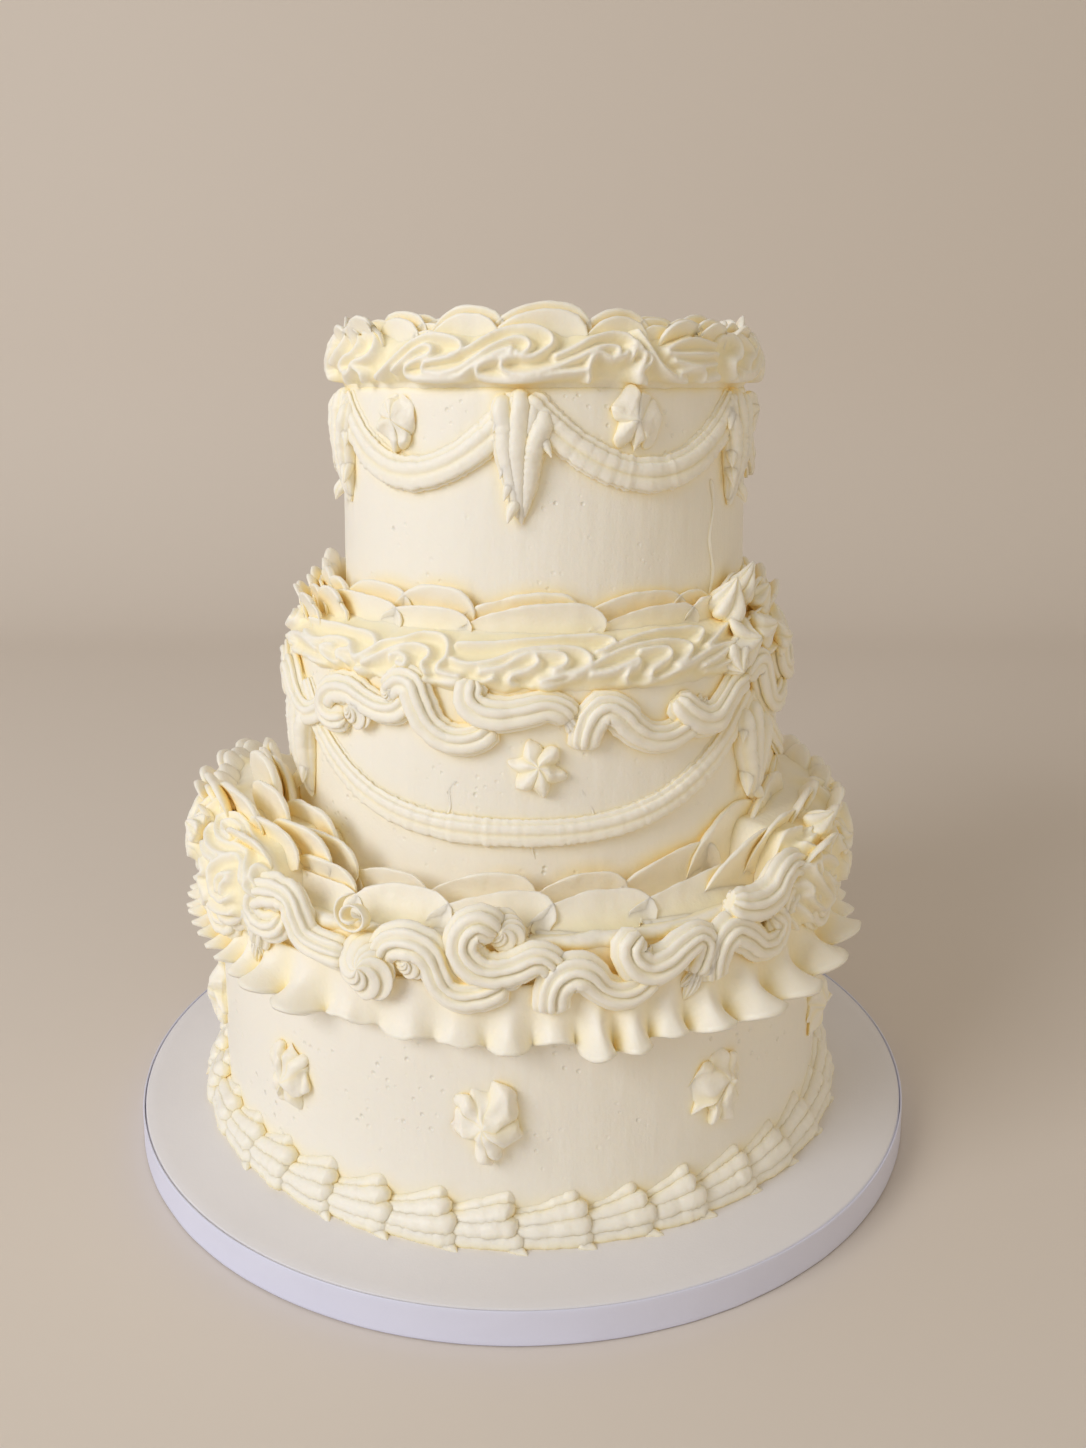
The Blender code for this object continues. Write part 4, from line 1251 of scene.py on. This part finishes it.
bottomRuffleShape = {
    "face": ((117.0, -1.2), (118.6, -0.3), (120.0, -0.2), (121.4, -1.4), (122.4, -4.0), (122.9, -8.0)),
    "back": ((123.2, -14), (123.6, -22), (124, -30), (123, -36), (118, -36), (116.6, -18)),
    "unit": (((-16, 123.6), (-8, 122.6), (2, 123.0), (14, 124.2)), ((-8, 121.6), (4, 122.2), (12, 121.4))),
    "tall": (((35.5, 128), (50.5, 150.5), (54, 134)), ((55, 134), (63.5, 153), (69, 136)),
             ((66, 136), (73.5, 156), (79, 138)), ((78, 136), (85, 152), (91, 138)),
             ((-82, 138), (-74, 159), (-66, 140)), ((-94, 138), (-86, 156), (-78, 138)),
             ((-18, 125.8), (-3.3, 138.6), (1.6, 129.6)), ((1.4, 125.3), (14.1, 137.6), (19.4, 128.3)),
             ((18.4, 127.5), (37.0, 140.9), (40.6, 130.6)),
             ((-35.8, 125.3), (-25.0, 136.3), (-18.6, 130.9)),
             ((-60.4, 124.7), (-41.5, 134.3), (-32.0, 128))),
    "upper": (
        ((-13.2, 127.2), (1.8, 134.4), (4.3, 128.0)), ((3.2, 126), (14.4, 133.4), (22.4, 126.4)),
        ((20.1, 127), (40.9, 133.2), (45.1, 125.8)), ((-28.3, 126.9), (-19.3, 134.2), (-12.0, 127)),
        ((-48.9, 127.4), (-40.3, 131.2), (-27.3, 126.2)), ((-64.5, 128.5), (-55.9, 133.8), (-46.5, 127.9))),
    "kisses": (
        (60, 138, 2, 60, 40, 12, 6.5), (68, 129, 8, 20, 50, 8, 6.5), (-66, 134, 7, 150, 45, 9, 6.5)),
    "loose": (
        ((-55, 138), (-52, 146.0), (-44, 137), 130, -1.5, 74),
        ((-53, 141), (-49.5, 150), (-41, 139), 132, -7, 84),
        ((-50, 139), (-45.5, 149.5), (-36.5, 137), 128, -13, 86),
        ((-52, 140), (-49, 152), (-41, 141), 128, -22, 92),
        ((-47, 136), (-41.5, 145.5), (-33, 133), 126, -19, 88),
        ((-44, 131), (-38.5, 139.5), (-30, 129), 124, -12.5, 84),
        ((-76, 142), (-69, 159), (-61, 142), 134, -26, 90),
        ((-88, 142), (-80, 158), (-72, 142), 134, -25, 90),
        ((-65, 142), (-61, 157), (-51, 144), 136, -7, 78),
        ((-59, 146), (-55, 159), (-48, 145), 138, -13, 88),
        ((-70, 144), (-62, 166), (-57, 144), 138, -17.5, 88),
        ((-74, 142), (-68.5, 156), (-63, 143), 134, -5, 72),
        ((34.5, 127), (48.5, 144.0), (52, 130), 123, -9, 88),
        ((44, 130), (54, 147.5), (60, 132), 128, -8, 84), ((58, 138), (64, 150.5), (69, 138), 130, -8, 80),
        ((46, 140), (57.0, 152.5), (60, 141), 128, -24, 94),
        ((54, 141), (64, 155), (68, 142), 128, -18, 92), ((50, 130), (57.0, 140), (62, 128), 124, 3.5, 66)),
    "sideHeight": 5.8,
    "sideFace": (
        (105.5, 2.6), (109, 5.8), (114, 7.6), (121, 8.4), (127, 8.0), (132, 5.8), (136.4, 2.0),
        (140.4, -3.4), (143.2, -9.0), (144.6, -15)),
    "sideBack": ((144.4, -20), (142.4, -26), (138, -33), (124, -34), (112, -27), (106, -12)),
    "left": (((-54.4, 141.4), (-57.7, 141.4), (-59.8, 142.7), (-57.9, 144.5), (-54.3, 144.6),
              (-51.9, 143.4), (-52.1, 141.5)),
             ((-62.1, 142.3), (-61.9, 144.1), (-58.5, 146.1), (-53.8, 146.0), (-50.3, 144.8),
              (-48.4, 143.7)),
             ((-62.5, 142.7), (-60.9, 140.8), (-57.8, 139.4), (-54.0, 139.8), (-50.7, 141.0),
              (-47.7, 140.9)),
             ((-62.7, 140.3), (-62.6, 137.4), (-59.4, 135.4), (-54.8, 135.8), (-51.2, 137.5)),
             ((-62.1, 134.2), (-59.0, 132.2), (-54.8, 133.1)),
             ((-50.1, 144.8), (-45.7, 143.4), (-41.3, 142.4), (-37.3, 141.0)),
             ((-42.9, 133.5), (-44.1, 135.3), (-44.2, 138.5), (-42.6, 140.8), (-40.2, 141.6),
              (-38.0, 140.9), (-35.8, 138.5)),
             ((-38.9, 136.3), (-40.9, 136.5), (-41.5, 138.1), (-40.4, 139.6), (-38.5, 139.6),
              (-36.9, 138.6)),
             ((-42.9, 133.5), (-41.2, 133.2), (-38.9, 134.8), (-38.8, 135.8)),
             ((-51.0, 137.9), (-49.1, 138.8), (-47.2, 137.4), (-46.3, 134.7), (-45.5, 131.9)),
             ((-47.4, 141.0), (-46.2, 138.0), (-44.5, 133.2), (-44.2, 130.7), (-42.0, 130.1),
              (-40.2, 130.6)),
             ((-50.4, 137.3), (-52.8, 135.1), (-54.5, 131.9), (-55.6, 128.1), (-55.2, 124.6),
              (-54.4, 120.5), (-50.9, 119.6), (-48.5, 123.0)),
             ((-52.0, 122.6), (-52.4, 126.9), (-51.4, 130.2), (-48.8, 132.7)),
             ((-50.6, 123.0), (-50.6, 126.8), (-49.3, 129.9)),
             ((-41.1, 126.6), (-40.1, 129.9), (-37.8, 132.4), (-35.4, 132.7), (-33.4, 130.5)),
             ((-38.3, 134.2), (-36.3, 136.1), (-33.7, 135.9), (-31.9, 133.1)),
             ((-60, 129), (-58, 125), (-60.5, 121), (-58, 115), (-59.5, 110)),
             ((-48, 117), (-52, 114), (-57, 112.5))),
    "right": (
        ((42.3, 126.7), (44.2, 132.2), (46.8, 133.0), (48.7, 131.3), (50.5, 126.9), (51.2, 123.0)),
        ((44.9, 126.4), (45.9, 118.7), (48.5, 110.7), (49.6, 107.0)),
        ((47.9, 126.5), (48.9, 119.7), (52.7, 109.6)),
        ((49.1, 135.5), (51.6, 133.5), (52.8, 129.1), (55.2, 122.2), (59.6, 112.4), (57.9, 109.1),
         (53.7, 114.9), (50.0, 123.1)),
        ((53.4, 140.0), (55.5, 136.4), (54.6, 133.3), (52.0, 132.8)),
        ((54.0, 129.0), (54.3, 132.7), (56.3, 133.2), (59.1, 130.7), (60.7, 126.1)),
        ((55.9, 126.7), (58.5, 121.8), (61.6, 117)), ((60.1, 110.9), (59.8, 116.0), (56.7, 123.5)),
        ((57.4, 141.8), (60.9, 141.8), (61.4, 140.1), (61.2, 137.0)),
        ((55.9, 139.9), (58.6, 139.6), (60.8, 136.5), (59.9, 134.1)),
        ((64.1, 142.8), (64.6, 140.9), (64.8, 138.5)), ((40, 137), (45, 139.5), (50, 139.0)),
        ((44, 143), (50, 144.6), (56, 143.6))),
    "coils": (
        (-73, 141, 7.5, 160, -1), (-71, 125, 7, 20, 1), (-82, 132, 8, 200, 1), (-88, 118, 7, 80, -1),
        (-92, 142, 6.5, 0, 1), (-97, 128, 7.5, 120, -1), (67, 134, 7.5, 20, -1), (70, 118, 7, 160, 1),
        (78, 141, 7, 0, 1), (82, 127, 8, 220, -1), (92, 138, 7.5, 40, 1), (96, 120, 7, 100, -1)),
    "roses": ((-24.6, 127.6, 3, 7.5, 100, 1),),
    "ledges": (
        ((-62, 124.2), (-54, 123.0), (-46, 124.0), (-38, 123.2), (-30, 124.2)),
        ((-32, 122.6), (-24, 124.4), (-16, 122.8), (-8, 123.0)),
        ((-14, 124.6), (-4, 123.2), (6, 123.4), (13, 124.8)), ((2, 122.2), (10, 123.2), (20, 121.8)),
        ((12, 124.8), (22, 123.6), (32, 123.8), (41, 125)), ((24, 122.2), (34, 122.8), (46, 121.8)),
        ((44, 124.6), (52, 123.4), (62, 124.6))),
    "step": 16.6, "from": 58.0, "copies": 15, "tallForm": (122.0, (-19.4, -18.2), (97, 104)),
    "leafForm": (121.0, -4.6),
    "sides": (("leftFolds", "left", (-106, -36, 20, 20)), ("rightFolds", "right", (42, 106, 22, 20)))}


# along the half of a leaf that lies down: the share of its length and its width
leafHalf = ((0, 1.5), (0.15, 4.4), (0.4, 6.6), (0.65, 7.8), (0.85, 7.2), (0.97, 4.0), (1.0, 1.5))


def leaf(tier, start, peak, end, foot, out):
    # an opened leaf: one half stands, the other lies towards the edge of the tier
    rows = petal(tier, start, peak, end, foot, (out, out + 1.2), (122, 130))
    low = [(start[0] + (end[0] - start[0]) * u, foot + 3.4, out - 1.4, height) for u, height in leafHalf]
    return [rows, blade(tier, low, (-24, -40))]


def bottomRuffles():
    # leaves on the bottom ledge: one row up the wall and one of opened leaves behind the scroll
    shape = bottomRuffleShape
    centres = [70 + 17 * i for i in range(14)]
    strokes = level(shape["ledges"]) + repeated(bottomTier, centres, shape["unit"], 19)
    relief("bottomBank", "ruffles_bottom", bottomTier, shape["face"], shape["back"], strokes, 3.0, 2.5, 1.0,
           9.0)
    strokes = [petal(bottomTier, *item, *shape["tallForm"]) for item in shape["tall"]]
    for item in shape["upper"]:
        strokes += leaf(bottomTier, *item, *shape["leafForm"])
    rng = random.Random(26)
    for i in range(shape["copies"]):
        at = shape["from"] + shape["step"] * i + rng.uniform(-1.5, 1.5)
        tall = rng.uniform(-1.2, 1.2)
        strokes.append(petal(bottomTier, (at - 9, 125), (at + 5.0, 138 + tall), (at + 9, 129),
                             *shape["tallForm"]))
        strokes += leaf(bottomTier, (at - 3, 126), (at + 9, 133 + tall), (at + 14.5, 126), *shape["leafForm"])
    for start, peak, end, foot, out, lean in shape["loose"]:
        strokes.append(petal(bottomTier, start, peak, end, foot, (out, out + 1.5), (lean, lean + 9)))
    # where the ledge turns the sides small petals stand up out of the folds
    for i in range(26):
        side = -1 if i % 2 else 1
        angle = (67 + 3.3 * (i // 2)) * side + rng.uniform(-1, 1)
        row = rng.choice((0, 1, 2))
        foot = 133 + 3 * row
        tip = (angle + side * 1.5, 143 + 3.2 * row + rng.uniform(-1, 2))
        strokes.append(petal(bottomTier, (angle - 4.2, foot), tip, (angle + 4.2, foot), 129,
                             (-1.0 - 6.5 * row, 0.0 - 6.5 * row), (58, 74), 0.5))
    mesh = pipe("bottomPetals", strokes, dict(petalNozzle, Sides=22, Seed=9.0))
    finished("bottomPetals", mesh, ("ruffles_bottom",))
    strokes = [kiss(bottomTier, *item) for item in shape["kisses"]]
    finished("bottomKisses", pipe("bottomKisses", strokes, dict(kissNozzle, Seed=17.0)), ("ruffles_bottom",))
    strokes = [rose(bottomTier, *item) for item in shape["roses"]]
    finished("bottomRoses", pipe("bottomRoses", strokes, roseNozzle), ("ruffles_bottom",))
    # rosettes and folds dragged down over the edge, left and right
    for name, folds, arc in shape["sides"]:
        strokes = level(shape[folds])
        strokes += [coil(bottomTier, *item) for item in shape["coils"] if arc[0] < item[0] < arc[1]]
        relief(name, "ruffles_bottom", bottomTier, shape["sideFace"], shape["sideBack"], strokes,
               shape["sideHeight"], 2.5, 0.6, 13.0, arc)


bottomRuffles()
print("bottom ledge")


stageLook = {
    "colour": (0.75, 0.69, 0.635, 1), "back": 0.9, "height": 2.2, "halfWidth": 2.5, "front": -1.6,
    "curve": 0.35}


def stage():
    # a pale floor that curves up into a wall
    look = stageLook
    outline = [(look["front"], 0.0)]
    for i in range(13):
        a = math.radians(90 * i / 12)
        outline.append((look["back"] + look["curve"] * math.sin(a), look["curve"] * (1 - math.cos(a))))
    outline.append((look["back"] + look["curve"], look["height"]))
    mesh = bpy.data.meshes.new("stage")
    points = [(side * look["halfWidth"], y, z) for y, z in outline for side in (-1, 1)]
    faces = [(2 * i, 2 * i + 1, 2 * i + 3, 2 * i + 2) for i in range(len(outline) - 1)]
    mesh.from_pydata(points, [], faces)
    mesh.shade_smooth()
    mesh.materials.append(newMaterial("stagePaint", {"Base Color": look["colour"], "Roughness": 0.7})[0])
    floor = bpy.data.objects.new("stage", mesh)
    bpy.context.scene.collection.objects.link(floor)


def light(name, place, target, size, power, colour):
    made = bpy.data.lights.new(name, "AREA")
    made.shape = "RECTANGLE"
    made.size, made.size_y = size
    made.energy = power
    made.color = colour
    holder = bpy.data.objects.new(name, made)
    holder.location = place
    holder.rotation_euler = (Vector(target) - Vector(place)).to_track_quat("-Z", "Y").to_euler()
    bpy.context.scene.collection.objects.link(holder)


lightLook = {"key": 25.5, "fill": 4.3, "sky": 0.42}


def lights():
    look = lightLook
    light("key", (-1.5, -1.3, 1.15), (0, 0, 0.15), (1.1, 1.1), look["key"], (0.99, 0.99, 1.0))
    light("fill", (1.7, -0.9, 0.28), (0, 0, 0.1), (1.2, 1.2), look["fill"], (1.0, 0.78, 0.45))
    world = bpy.data.worlds.new("room")
    world.use_nodes = True
    background = world.node_tree.nodes["Background"]
    background.inputs["Color"].default_value = (1.0, 0.9, 0.77, 1)
    background.inputs["Strength"].default_value = look["sky"]
    bpy.context.scene.world = world


def camera():
    made = bpy.data.cameras.new("camera")
    made.lens = 30.8
    made.sensor_fit = "AUTO"
    made.sensor_width = 36
    made.shift_y = -0.1035
    holder = bpy.data.objects.new("camera", made)
    holder.location = (0.0085, -0.5226, 0.3108)
    holder.rotation_euler = (math.radians(81), 0, 0)
    bpy.context.scene.collection.objects.link(holder)
    bpy.context.scene.camera = holder


stage()
lights()
camera()
bpy.context.scene.view_settings.view_transform = "Standard"
# pale icing passes light on many times, so its creases stay warm
bpy.context.scene.cycles.max_bounces = 16
bpy.context.scene.cycles.diffuse_bounces = 12
print("stage, lights and camera set")
